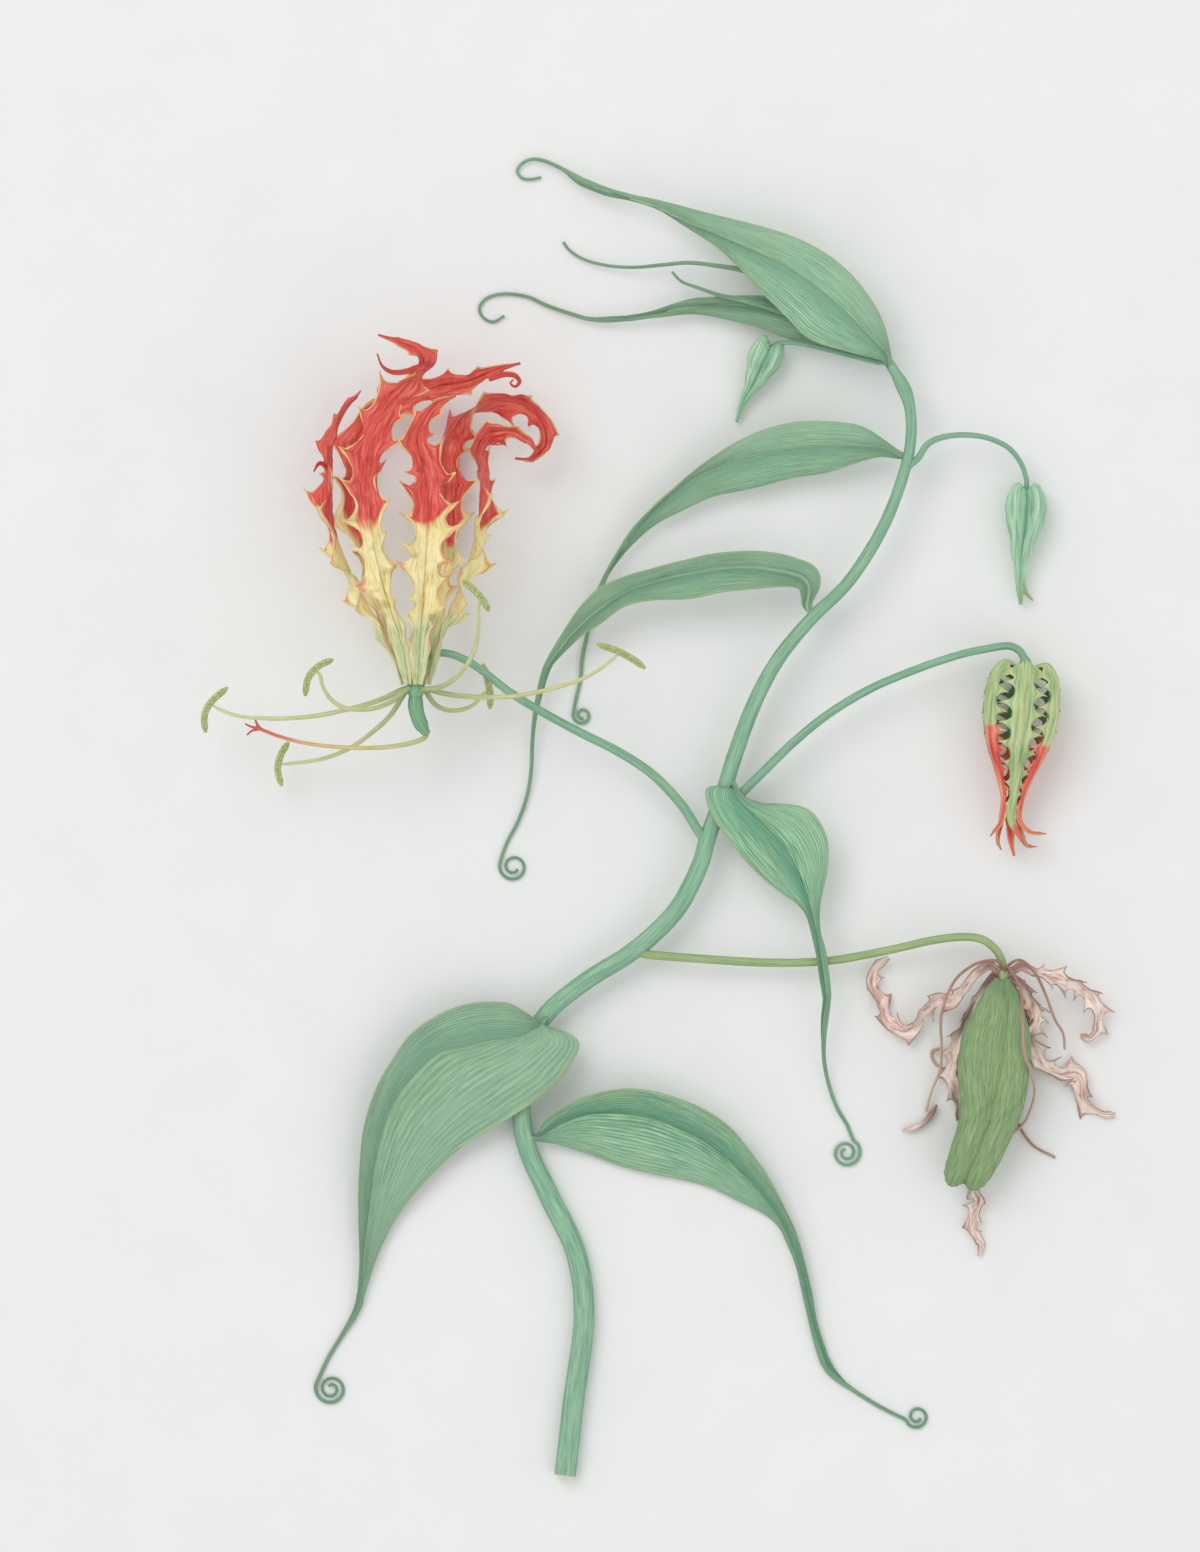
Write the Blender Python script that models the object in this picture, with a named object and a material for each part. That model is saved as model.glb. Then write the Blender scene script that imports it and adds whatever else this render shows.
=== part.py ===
"""A cut shoot of glory lily, lying on a flat surface: stem, leaves with coiled tips, an open flower, three buds and a pod.

Metres, +Z up. The surface is z = 0, and the origin is on it, under the middle of the shoot. Routes are plans read
from above: each point is a photograph pixel, x to the right and y down, then a height over the surface in millimetres.
"""

import math

import bmesh
import bpy
from mathutils import Vector

MM = 0.001
PERIANTH_LENGTH = 75 * MM  # receptacle to crown of the open flower, which sets the scale of the whole shoot
PERIANTH_PIXELS = 341
PIXEL = PERIANTH_LENGTH / PERIANTH_PIXELS
MIDDLE_PIXEL = (660.2, 817.2)  # over the origin

LEAF_THICKNESS = 0.8 * MM
TEPAL_THICKNESS = 0.7 * MM
WITHERED_THICKNESS = 0.65 * MM
TENDRIL_HALF = 0.42 * MM
UP = Vector((0, 0, 1))

GREEN = (0.30, 0.49, 0.33)
PALE_GREEN = (0.42, 0.52, 0.27)
POD_GREEN = (0.26, 0.39, 0.17)
BUD_GREEN = (0.36, 0.50, 0.33)
RED = (0.69, 0.09, 0.07)
YELLOW = (0.83, 0.66, 0.28)
OLIVE = (0.45, 0.46, 0.22)
BROWN = (0.50, 0.28, 0.20)


def at(x, y, height):
    """A photograph pixel and a height in millimetres, as a place in metres."""
    return Vector(((x - MIDDLE_PIXEL[0]) * PIXEL, (MIDDLE_PIXEL[1] - y) * PIXEL, height * MM))


def keyed(share, table):
    """The value at a share of the length, between the (share, value) pairs of a table. A bare value holds all along."""
    if not isinstance(table, (list, tuple)):
        return table
    for (low, first), (high, second) in zip(table, table[1:]):
        if share <= high:
            part = max(0.0, share - low) / (high - low)
            return first + (second - first) * part
    return table[-1][1]


def smooth_line(points, steps=10):
    """A dense line on a smooth curve through the points, with this many steps between two of them."""
    ends = [2 * points[0] - points[1], *points, 2 * points[-1] - points[-2]]
    line = []
    for a, b, c, d in zip(ends, ends[1:], ends[2:], ends[3:]):
        for step in range(steps):
            t = step / steps
            line.append(
                0.5 * (2 * b + (c - a) * t + (2 * a - 5 * b + 4 * c - d) * t**2 + (3 * b - a - 3 * c + d) * t**3)
            )
    return [*line, points[-1]]


def spaced(line, shares):
    """The points at these shares of a line's length."""
    lengths = [0.0]
    for first, second in zip(line, line[1:]):
        lengths.append(lengths[-1] + (second - first).length)
    found = []
    index = 0
    for share in shares:
        wanted = share * lengths[-1]
        while index < len(line) - 2 and lengths[index + 1] < wanted:
            index += 1
        part = (wanted - lengths[index]) / (lengths[index + 1] - lengths[index])
        found.append(line[index].lerp(line[index + 1], part))
    return found


def even(count, first=0):
    """Shares from 0 to 1 in equal steps. With first=1 the one at 0 is left out."""
    return [step / count for step in range(first, count + 1)]


def coil(x, y, height, radius, start, turns, end_radius=2.6, rise=0.0):
    """The curled end of a tendril, round a pixel: turns is positive when it winds to the left, seen from above."""
    count = max(4, math.ceil(abs(turns) * 12))
    points = []
    for step in even(count):
        angle = math.radians(start) + 2 * math.pi * turns * step
        reach = radius + (end_radius - radius) * step
        points.append((x + reach * math.cos(angle), y - reach * math.sin(angle), height + rise * step))
    return points


def tangents(points):
    """The direction of travel at each point."""
    last = len(points) - 1
    return [(points[min(i + 1, last)] - points[max(i - 1, 0)]).normalized() for i in range(last + 1)]


def grid_of_blade(points, shares, half_width, across, folds, waves, rows):
    """The middle surface of a ribbon: a row of points across it at each station, from its left edge to its right one.

    across points to the left edge, which is level when it is None. folds are the angles by which the two halves rise
    from the rib, and waves is a function of (share, side) giving the edge's (extra width factor, lift in metres).
    """
    grid = []
    for share, point, travel in zip(shares, points, tangents(points)):
        normal = travel.cross(keyed(share, across) if across else UP.cross(travel)).normalized()
        level = normal.cross(travel)
        half = half_width(share)
        row = []
        for step in range(rows + 1):
            v = 1 - 2 * step / rows
            side = 0 if v > 0 else 1
            fold = math.radians(keyed(share, folds[side]))
            factor, lift = waves(share, side)
            reach = abs(v) * half * (1 + factor * v * v)
            row.append(
                point
                + level * (math.copysign(reach, v) * math.cos(fold))
                + normal * (reach * math.sin(fold) + lift * v * v)
            )
        grid.append(row)
    return grid


def grid_between(left, rib, right, arches, rows):
    """The middle surface of a leaf drawn by three lines, its halves arched by these shares of their widths."""
    grid = []
    for edge_left, middle, edge_right, travel in zip(left, rib, right, tangents(rib)):
        normal = travel.cross(edge_left - edge_right).normalized()
        row = []
        for step in range(rows + 1):
            v = 1 - 2 * step / rows
            edge, arch = (edge_left, arches[0]) if v > 0 else (edge_right, arches[1])
            bow = 4 * abs(v) * (1 - abs(v)) * arch * (edge - middle).length
            row.append(middle.lerp(edge, abs(v)) + normal * (math.copysign(1, normal.z) * bow))
        grid.append(row)
    return grid


def grid_of_strand(points, half_width, facing):
    """The middle surface of a tendril: two points at each station."""
    grid = []
    for index, (point, travel) in enumerate(zip(points, tangents(points))):
        across = facing.cross(travel).normalized()
        half = half_width(index / max(1, len(points) - 1))
        grid.append([point + across * half, point - across * half])
    return grid


def faces_apart(grid, thickness):
    """The upper and lower points of a grid, half a thickness to each side of it and none under the surface."""
    pairs = []
    for i, row in enumerate(grid):
        before = grid[i - 1] if i and len(grid[i - 1]) == len(row) else row
        after = grid[i + 1] if i + 1 < len(grid) and len(grid[i + 1]) == len(row) else row
        normals = [
            (after[j] - before[j]).cross(row[max(j - 1, 0)] - row[min(j + 1, len(row) - 1)]).normalized()
            for j in range(len(row))
        ]
        middle = normals[len(row) // 2]
        upper, lower = [], []
        for point, normal in zip(row, normals):
            if normal.dot(middle) < 0:
                normal = -normal
            top, bottom = point + normal * (thickness / 2), point - normal * (thickness / 2)
            lift = max(0.0, -min(top.z, bottom.z))
            upper.append(top + UP * lift)
            lower.append(bottom + UP * lift)
        pairs.append((upper, lower))
    return pairs


def strip(first, second):
    """Triangles between two rows of vertices, which may differ in number."""
    i = j = 0
    last_i, last_j = len(first) - 1, len(second) - 1
    triangles = []
    while i < last_i or j < last_j:
        if j == last_j or (i < last_i and (i + 1) * last_j <= (j + 1) * last_i):
            triangles.append((first[i], first[i + 1], second[j]))
            i += 1
        else:
            triangles.append((first[i], second[j + 1], second[j]))
            j += 1
    return triangles


def blade_mesh(pairs):
    """A closed mesh over the upper and lower rows, whose two faces are split into triangles alike."""
    mesh = bmesh.new()
    rings = [([mesh.verts.new(p) for p in upper], [mesh.verts.new(p) for p in lower]) for upper, lower in pairs]
    triangles = []
    for (upper, lower), (next_upper, next_lower) in zip(rings, rings[1:]):
        triangles += strip(upper, next_upper)
        triangles += [tuple(reversed(corner)) for corner in strip(lower, next_lower)]
        triangles += strip([upper[0], lower[0]], [next_upper[0], next_lower[0]])
        triangles += strip([lower[-1], upper[-1]], [next_lower[-1], next_upper[-1]])
    for upper, lower in (rings[0], rings[-1]):
        triangles += strip(upper, lower)
    for corners in triangles:
        mesh.faces.new(corners)
    bmesh.ops.recalc_face_normals(mesh, faces=mesh.faces)
    return mesh


def add(name, mesh, colour, roughness=0.5):
    """Puts a mesh into the scene as a named piece with its own material."""
    data = bpy.data.meshes.new(name)
    mesh.to_mesh(data)
    mesh.free()
    piece = bpy.data.objects.new(name, data)
    bpy.context.scene.collection.objects.link(piece)
    finish = bpy.data.materials.new(name)
    finish.use_nodes = True
    shader = finish.node_tree.nodes["Principled BSDF"]
    shader.inputs["Base Color"].default_value = (*colour, 1)
    shader.inputs["Roughness"].default_value = roughness
    shader.inputs["Metallic"].default_value = 0
    data.materials.append(finish)
    data.shade_smooth()
    data.set_sharp_from_angle(angle=math.radians(50))
    return piece


def no_wave(share, side):
    return 0.0, 0.0


def ribbon(name, colour, route, half_width, shares, across, thickness, folds=(0, 0), waves=no_wave, rows=2):
    """A long narrow blade along its rib, such as a tepal."""
    points = spaced(smooth_line([at(*p) for p in route]), shares)
    grid = grid_of_blade(points, shares, half_width, across, folds, waves, rows)
    return add(name, blade_mesh(faces_apart(grid, thickness)), colour)


def leaf(name, left, rib, right, tail, stations=14, arches=(0.06, 0.06), tail_stations=24, leads=(1, 1), colour=GREEN):
    """A leaf between its two edges and its rib, which runs on as a tendril. leads under 1 put an edge ahead of the rib."""
    steps = 10
    line = smooth_line([at(*p) for p in [*rib, *tail]], steps)
    end = (len(rib) - 1) * steps
    shares = even(stations)
    edges = [
        spaced(smooth_line([at(*p) for p in edge]), [share**lead for share in shares])
        for edge, lead in zip((left, right), leads)
    ]
    grid = grid_between(edges[0], spaced(line[: end + 1], shares), edges[1], arches, 4)
    start_half = (edges[0][-1] - edges[1][-1]).length / 2
    strand = spaced(line[end:], even(tail_stations, 1))
    tendril = grid_of_strand(
        strand, lambda share: TENDRIL_HALF + (start_half - TENDRIL_HALF) * max(0.0, 1 - 4 * share), UP
    )
    if (edges[0][-1] - edges[1][-1]).dot(tendril[0][0] - tendril[0][1]) < 0:
        tendril = [list(reversed(row)) for row in tendril]
    pairs = faces_apart(grid, LEAF_THICKNESS)
    pairs_of_tendril = faces_apart(tendril, LEAF_THICKNESS)
    if (pairs[-1][0][0] - pairs[-1][1][0]).dot(pairs_of_tendril[0][0][0] - pairs_of_tendril[0][1][0]) < 0:
        pairs_of_tendril = [(lower, upper) for upper, lower in pairs_of_tendril]
    return add(name, blade_mesh(pairs + pairs_of_tendril), colour)


def tube_mesh(points, radius, sides, lobes=0, depth=0.0, flat=1.0, facing=UP):
    """A closed tube of a radius that changes along it, pressed flat where it would go under the surface.

    lobes ribs run along it, with grooves of a depth given as a share of the radius, and flat narrows it along facing.
    """
    mesh = bmesh.new()
    rings = []
    count = len(points) - 1
    for index, (point, travel) in enumerate(zip(points, tangents(points))):
        across = facing.cross(travel).normalized()
        normal = travel.cross(across)
        ring = []
        for side in range(sides):
            angle = 2 * math.pi * (side + 0.5) / sides
            groove = keyed(index / count, depth) * (0.5 - 0.5 * math.cos(lobes * (angle - math.pi / 2)))
            reach = radius(index / count) * (1 - groove)
            place = point + across * (reach * math.cos(angle)) + normal * (reach * flat * math.sin(angle))
            place.z = max(0.0, place.z)
            ring.append(mesh.verts.new(place))
        rings.append(ring)
    for first, second in zip(rings, rings[1:]):
        for side in range(sides):
            after = (side + 1) % sides
            mesh.faces.new((first[side], first[after], second[after]))
            mesh.faces.new((first[side], second[after], second[side]))
    mesh.faces.new(rings[0])
    mesh.faces.new(rings[-1])
    bmesh.ops.recalc_face_normals(mesh, faces=mesh.faces)
    return mesh


def tube(name, colour, route, radii, sides, shares, roughness=0.5, **how):
    """A stem, stalk or swollen part along a route, with radii in millimetres at shares of its length."""
    points = spaced(smooth_line([at(*p) for p in route]), shares)
    profile = [(share, radius * MM) for share, radius in radii]
    places = list(shares)

    def radius(part):
        return keyed(places[round(part * (len(places) - 1))], profile)

    return add(name, tube_mesh(points, radius, sides, **how), colour, roughness)


def joined(name, parts, colour):
    """One piece from several that are sunk into each other."""
    tool = bpy.data.collections.new(name + "_parts")
    bpy.context.scene.collection.children.link(tool)
    first, *others = parts
    for other in others:
        bpy.context.scene.collection.objects.unlink(other)
        tool.objects.link(other)
    union = first.modifiers.new("Join", "BOOLEAN")
    union.operation = "UNION"
    union.operand_type = "COLLECTION"
    union.collection = tool
    union.solver = "EXACT"
    bpy.context.view_layer.update()
    whole = bpy.data.meshes.new_from_object(first.evaluated_get(bpy.context.evaluated_depsgraph_get()))
    mesh = bmesh.new()
    mesh.from_mesh(whole)
    for part in parts:
        bpy.data.objects.remove(part)
    bpy.data.collections.remove(tool)
    return add(name, mesh, colour)


STEM_ROUTE = [
    (565, 1478, 2.1), (574, 1400, 2.1), (584, 1320, 2.1), (576, 1255, 2.0), (548, 1195, 2.2), (526, 1145, 2.8),
    (521, 1095, 3.6), (529, 1050, 4.4), (546, 1015, 5.0), (585, 982, 5.5), (635, 950, 6.0), (675, 912, 6.4),
    (698, 870, 6.8), (708, 838, 7.0), (722, 797, 7.4), (736, 752, 7.8), (755, 702, 8.2), (779, 658, 8.6),
    (812, 618, 9.0), (850, 580, 9.2), (884, 525, 9.4), (904, 472, 9.5), (911, 435, 9.4), (908, 400, 9.2),
    (894, 371, 9.0), (882, 355, 8.8), (868, 343, 8.7),
]
STEM_RADII = [
    (0, 2.35), (0.2, 2.25), (0.35, 1.95), (0.5, 2.0), (0.62, 1.75), (0.8, 1.35), (0.935, 1.2), (0.955, 1.55),
    (0.972, 1.1), (1, 0.7),
]
STEM_STATIONS = 46


def stem():
    tube("stem", GREEN, STEM_ROUTE, STEM_RADII, 8, even(STEM_STATIONS))


LEAVES = {
    "leaf_lower_left": dict(
        left=[(538, 1020, 8.1), (513, 1005, 8.6), (496, 1002, 8.8), (468, 1004, 9.2), (440, 1014, 9.4), (412, 1033, 9.2),
              (393, 1059, 8.8), (376, 1089, 8.0), (363, 1131, 6.8), (359, 1176, 5.4), (358, 1218, 4.2), (359, 1261, 3.0),
              (357, 1294, 2.0)],
        rib=[(541, 1024, 8.0), (516, 1037, 8.0), (490, 1040, 8.0), (466, 1046, 7.9), (440, 1053, 7.7), (412, 1078, 7.2),
             (391, 1110, 6.5), (378, 1150, 5.6), (370, 1200, 4.4), (364, 1250, 3.0), (360, 1296, 1.8)],
        right=[(545, 1026, 8.0), (569, 1033, 7.9), (579, 1046, 7.6), (566, 1070, 7.4), (547, 1092, 7.2), (519, 1112, 6.8),
               (482, 1134, 5.6), (454, 1154, 4.6), (432, 1174, 3.8), (412, 1196, 3.2), (395, 1221, 2.6), (381, 1247, 2.2),
               (373, 1266, 2.0), (364, 1296, 1.6)],
        tail=[(354, 1316, 1.2), (342, 1336, 0.8), (328, 1359, 0.6), *coil(330, 1391, 0.6, 16, 140, 2.0, 3.2)],
        tail_stations=32,
    ),
    "leaf_lower_right": dict(
        left=[(537, 1134, 4.4), (547, 1119, 5.8), (573, 1101, 7.4), (603, 1092, 8.2), (632, 1089, 8.4), (664, 1094, 8.0),
              (699, 1107, 7.2), (729, 1127, 6.4), (752, 1154, 5.6), (770, 1180, 4.8), (784, 1207, 4.0), (796, 1233, 3.4),
              (805, 1262, 2.8), (812, 1292, 2.2), (818, 1324, 1.7), (829, 1360, 1.3)],
        rib=[(537, 1138, 3.9), (560, 1124, 4.6), (588, 1114, 5.0), (617, 1113, 5.2), (647, 1117, 5.2), (676, 1127, 4.8),
             (705, 1142, 4.4), (736, 1166, 3.8), (764, 1196, 3.2), (786, 1230, 2.6), (803, 1276, 2.0), (813, 1322, 1.5),
             (826, 1363, 1.1)],
        right=[(538, 1142, 3.5), (559, 1145, 2.6), (588, 1155, 1.9), (617, 1166, 1.5), (647, 1173, 1.3), (682, 1181, 1.2),
               (711, 1189, 1.1), (740, 1202, 1.1), (764, 1215, 1.1), (779, 1229, 1.1), (789, 1248, 1.1), (799, 1271, 1.1),
               (806, 1309, 1.1), (814, 1342, 1.0), (822, 1367, 0.9)],
        tail=[(838, 1380, 0.8), (855, 1393, 0.7), (877, 1407, 0.6), (894, 1416, 0.6),
              *coil(918, 1419, 0.6, 12, 195, 1.4, 4)],
    ),
    "leaf_middle": dict(
        left=[(744, 796, 10.4), (761, 803, 11.2), (778, 803, 11.6), (798, 806, 11.6), (812, 813, 11.2), (823, 829, 10.6),
              (828, 845, 10.2), (827, 868, 9.6), (823, 890, 9.2), (820, 907, 9.0), (820, 930, 8.8), (826, 952, 8.6),
              (829, 974, 8.2), (831, 993, 7.6)],
        rib=[(738, 798, 10.1), (751, 812, 10.8), (768, 828, 10.8), (783, 845, 10.4), (795, 865, 9.9), (804, 887, 9.3),
             (811, 909, 9.0), (816, 929, 8.8), (820, 951, 8.6), (824, 974, 8.2), (827, 995, 7.6)],
        right=[(733, 795, 9.9), (719, 787, 9.8), (706, 789, 9.8), (708, 806, 9.9), (716, 823, 10.2), (729, 838, 10.5),
               (744, 859, 10.5), (764, 879, 10.1), (785, 895, 9.5), (798, 905, 9.1), (807, 918, 8.9), (814, 944, 8.7),
               (819, 974, 8.2), (823, 997, 7.6)],
        tail=[(825, 1019, 6.4), (824, 1042, 4.8), (825, 1064, 3.4), (830, 1087, 2.0), (838, 1109, 1.0), (848, 1126, 0.6),
              *coil(847, 1154, 0.6, 15, 62, -1.9, 3.2)],
        tail_stations=34, leads=(0.95, 0.75),
    ),
    "leaf_folded": dict(
        left=[(812, 606, 10.2), (814, 598, 10.9), (819, 587, 11.5), (819, 575, 12.0), (813, 566, 12.2), (801, 560, 12.4),
              (778, 554, 12.4), (743, 552, 12.0), (711, 554, 11.6), (681, 562, 11.2), (652, 569, 10.8), (628, 575, 10.4),
              (602, 587, 9.8), (587, 600, 9.2), (573, 616, 8.4), (558, 640, 7.4), (547, 659, 6.6)],
        rib=[(807, 608, 10.0), (808, 597, 10.6), (808, 586, 11.2), (800, 577, 11.5), (781, 572, 11.5), (752, 568, 11.0),
             (719, 569, 10.4), (687, 574, 9.9), (655, 582, 9.4), (627, 592, 8.8), (600, 609, 8.2), (577, 629, 7.5),
             (562, 646, 6.9), (550, 662, 6.3)],
        right=[(803, 607, 10.0), (801, 597, 10.6), (795, 588, 11.4), (763, 588, 12.2), (728, 592, 12.2), (693, 598, 11.8),
               (652, 601, 11.2), (622, 607, 10.6), (599, 625, 9.2), (581, 637, 8.2), (566, 650, 7.2), (553, 664, 6.4)],
        tail=[(544, 676, 5.4), (537, 704, 4.2), (534, 722, 3.4), (532, 745, 2.6), (531, 769, 1.8), (527, 795, 1.2),
              (518, 821, 0.8), (507, 842, 0.6), *coil(513, 867, 0.6, 14.5, 150, 1.5, 5)],
        stations=18, arches=(-0.1, -0.1), tail_stations=28,
    ),
    "leaf_upper": dict(
        left=[(899, 451, 9.9), (866, 429, 10.4), (839, 423, 10.6), (809, 422, 10.6), (787, 424, 10.4), (762, 431, 10.0),
              (737, 442, 9.4), (710, 459, 8.6), (675, 487, 7.4), (652, 507, 6.6), (631, 531, 5.4), (614, 557, 4.2),
              (602, 578, 3.2), (595, 594, 2.4)],
        rib=[(900, 455, 9.6), (884, 448, 9.6), (854, 445, 9.6), (819, 445, 9.4), (787, 448, 9.0), (755, 454, 8.4),
             (725, 463, 7.6), (695, 476, 6.8), (664, 498, 5.8), (638, 525, 4.8), (618, 553, 3.6), (604, 578, 2.7),
             (598, 596, 2.1)],
        right=[(899, 459, 9.3), (879, 457, 8.6), (854, 463, 7.6), (824, 473, 6.6), (787, 479, 5.8), (742, 490, 5.0),
               (705, 499, 4.4), (664, 519, 3.8), (640, 537, 3.2), (622, 554, 2.6), (608, 575, 2.2), (601, 596, 1.9)],
        tail=[(591, 618, 1.4), (586, 640, 1.0), (582, 660, 0.8), (580, 681, 0.6), (576, 698, 0.6),
              *coil(582, 715, 0.6, 9.5, 155, 1.4, 3)],
        tail_stations=22,
    ),
    "leaf_top": dict(
        left=[(890, 352, 11.0), (883, 326, 12.6), (872, 304, 13.4), (852, 278, 13.8), (826, 256, 13.6), (797, 240, 13.0),
              (768, 230, 12.2), (728, 219, 10.8), (694, 210, 9.4), (659, 200, 7.6), (631, 194, 6.2), (608, 187, 5.0),
              (584, 177, 4.0)],
        rib=[(887, 357, 10.9), (866, 335, 12.0), (837, 306, 12.6), (809, 283, 12.4), (777, 263, 11.8), (745, 248, 10.8),
             (717, 235, 9.8), (688, 222, 8.6), (659, 207, 7.0), (631, 197, 5.7), (608, 190, 4.7), (583, 181, 3.8)],
        right=[(881, 361, 10.9), (852, 354, 12.2), (811, 341, 13.0), (786, 318, 12.6), (760, 292, 11.8), (737, 266, 10.8),
               (717, 248, 9.8), (694, 232, 8.6), (671, 216, 7.2), (654, 207, 6.2), (631, 200, 5.3), (605, 194, 4.5),
               (582, 185, 3.7)],
        tail=[(565, 169, 2.8), (547, 160, 2.0), (533, 157, 1.4), (522, 161, 1.0), (517, 169, 0.8), (522, 176, 0.7),
              (532, 177, 0.6), (541, 175, 0.6)],
        tail_stations=14,
    ),
    "leaf_behind": dict(
        left=[(871, 351, 6.6), (834, 325, 6.4), (800, 305, 6.0), (768, 296, 5.8), (745, 295, 5.6), (720, 296, 5.4),
              (694, 298, 5.0), (671, 304, 4.4), (648, 311, 3.8), (625, 315, 3.2)],
        rib=[(870, 355, 6.4), (838, 337, 5.7), (800, 320, 5.2), (766, 311, 4.8), (728, 306, 4.5), (700, 305, 4.2),
             (671, 309, 3.8), (648, 313, 3.4), (627, 317, 3.0)],
        right=[(869, 359, 6.3), (842, 349, 5.4), (817, 344, 4.9), (791, 338, 4.6), (766, 329, 4.4), (743, 322, 4.2),
               (717, 316, 4.0), (688, 313, 3.8), (659, 316, 3.4), (629, 320, 2.9)],
        tail=[(593, 318, 2.2), (570, 312, 1.6), (547, 304, 1.2), (527, 295, 0.9), (504, 292, 0.7), (487, 296, 0.6),
              (479, 306, 0.6), (483, 316, 0.6), (493, 320, 0.6), (504, 314, 0.6)],
        stations=12, tail_stations=18,
    ),
    "leaf_young_long": dict(
        left=[(866, 339, 8.8), (836, 316, 9.4), (806, 297, 9.6), (775, 280, 9.2), (750, 267, 8.2)],
        rib=[(866, 341, 8.8), (836, 322, 9.2), (806, 306, 9.4), (775, 289, 9.0), (748, 272, 8.0)],
        right=[(865, 343, 8.8), (836, 328, 9.0), (806, 315, 9.2), (775, 298, 8.8), (746, 277, 7.8)],
        tail=[(714, 265, 6.4), (688, 262, 5.2), (662, 264, 4.2), (634, 266, 3.0), (608, 264, 2.0), (585, 258, 1.2),
              (570, 249, 0.8), (563, 240, 0.6)],
        stations=7, tail_stations=14,
    ),
    "leaf_young_short": dict(
        left=[(865, 344, 7.8), (840, 331, 7.7), (805, 314, 7.6), (768, 301, 7.4), (740, 296, 7.0)],
        rib=[(865, 347, 7.8), (840, 336, 7.7), (805, 320, 7.5), (768, 306, 7.3), (739, 299, 6.9)],
        right=[(864, 350, 7.8), (840, 341, 7.7), (805, 326, 7.6), (768, 311, 7.4), (738, 302, 7.0)],
        tail=[(720, 295, 6.6), (700, 288, 6.0), (682, 281, 5.4), (672, 271, 5.0)],
        stations=6, tail_stations=6,
    ),
}


def leaves():
    for name, shape in LEAVES.items():
        leaf(name, **shape)


RECEPTACLE_SHARES = [*even(17)[:-1], 0.955, 0.966, 0.985, 1.0]


STALKS = {
    "flower_stalk": (
        GREEN,
        [(697, 829, 7.6), (681, 804, 8.0), (652, 774, 9.0), (617, 751, 10.2), (581, 733, 11.8), (542, 712, 13.6),
         (511, 693, 15.2), (484, 672, 16.6), (465, 660, 17.4), (448, 654, 18.2), (432, 655, 19.2), (421, 665, 20.6),
         (417, 678, 21.0), (417, 690, 21.0)],
        [(0, 1.05), (0.9, 0.85), (0.954, 0.85), (0.966, 1.9), (0.985, 2.0), (1, 1.5)], 8, RECEPTACLE_SHARES,
    ),
    "opening_bud_stalk": (
        GREEN,
        [(736.5, 798, 7.4), (762, 773, 7.6), (795, 741, 8.0), (830, 713, 8.4), (872, 688, 8.8), (920, 668, 9.2),
         (959, 655, 9.5), (986, 649, 9.7), (1007, 646, 9.8), (1018, 650, 9.8), (1024, 659, 9.8), (1025, 668, 9.6)],
        [(0, 1.0), (0.9, 0.85), (0.955, 0.85), (0.975, 1.4), (1, 1.1)], 6, RECEPTACLE_SHARES,
    ),
    "pod_stalk": (
        PALE_GREEN,
        [(651, 955, 6.2), (700, 959, 5.4), (770, 963, 5.0), (830, 961, 4.9), (891, 950, 5.6), (930, 941, 6.6),
         (960, 937, 7.6), (981, 939, 8.4), (995, 949, 8.8), (1002, 962, 8.8), (1003, 975, 8.8)],
        [(0, 0.95), (0.9, 0.9), (0.955, 0.9), (0.975, 1.4), (1, 1.1)], 6, RECEPTACLE_SHARES,
    ),
    "green_bud_stalk": (
        GREEN,
        [(918, 458, 9.4), (928, 444, 9.3), (944, 437, 9.0), (966, 435, 8.4), (988, 438, 7.6), (1008, 447, 6.6),
         (1021, 462, 5.6), (1027, 479, 5.0), (1027, 488, 4.8)],
        [(0, 0.75), (0.5, 0.6), (1, 0.55)], 6, even(14),
    ),
    "small_bud_stalk": (
        GREEN,
        [(877, 362, 8.4), (853, 356, 8.2), (826, 349, 7.6), (799, 343, 6.6), (782, 342, 5.4), (777, 343, 5.0)],
        [(0, 0.6), (1, 0.5)], 6, even(9),
    ),
}


def stalks():
    for name, (colour, route, radii, sides, shares) in STALKS.items():
        tube(name, colour, route, radii, sides, shares)


FLOWER = (417, 684, 21.0)  # the receptacle's pixel and height
# How far each tepal stands out from the flower's axis, in pixels, at distances along that axis
TEPAL_PROFILE = [(-1, 12.5), (18, 17), (45, 27), (85, 50), (125, 68), (165, 78), (205, 79)]
CRISPS = 8  # horned waves along each edge
CRISP_START, CRISP_END = 0.15, 0.95
CRISP_STEPS = (0, 0.17, 0.34, 0.5, 0.67, 0.84)
TEPAL_SHARES = [
    0, 0.04, 0.09,
    *[
        CRISP_START + (CRISP_END - CRISP_START) * (crisp + step) / CRISPS
        for crisp in range(CRISPS) for step in CRISP_STEPS
    ],
    CRISP_END, 1,
]


def crisped(horn, lift, phase=0.0):
    """Edges drawn out into horns with round bites between them, and thrown up and down by turns."""

    def waves(share, side):
        turn = CRISPS * (share - CRISP_START) / (CRISP_END - CRISP_START) + 0.5 * side + phase
        strength = min(1.0, max(0.0, share - 0.1) / 0.12, (1 - share) / 0.12)
        factor = horn * (1 - 1.6 * abs(math.sin(math.pi * turn)) ** 0.6) * strength
        return factor, lift * MM * strength * math.cos(math.pi * turn)

    return waves


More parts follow.
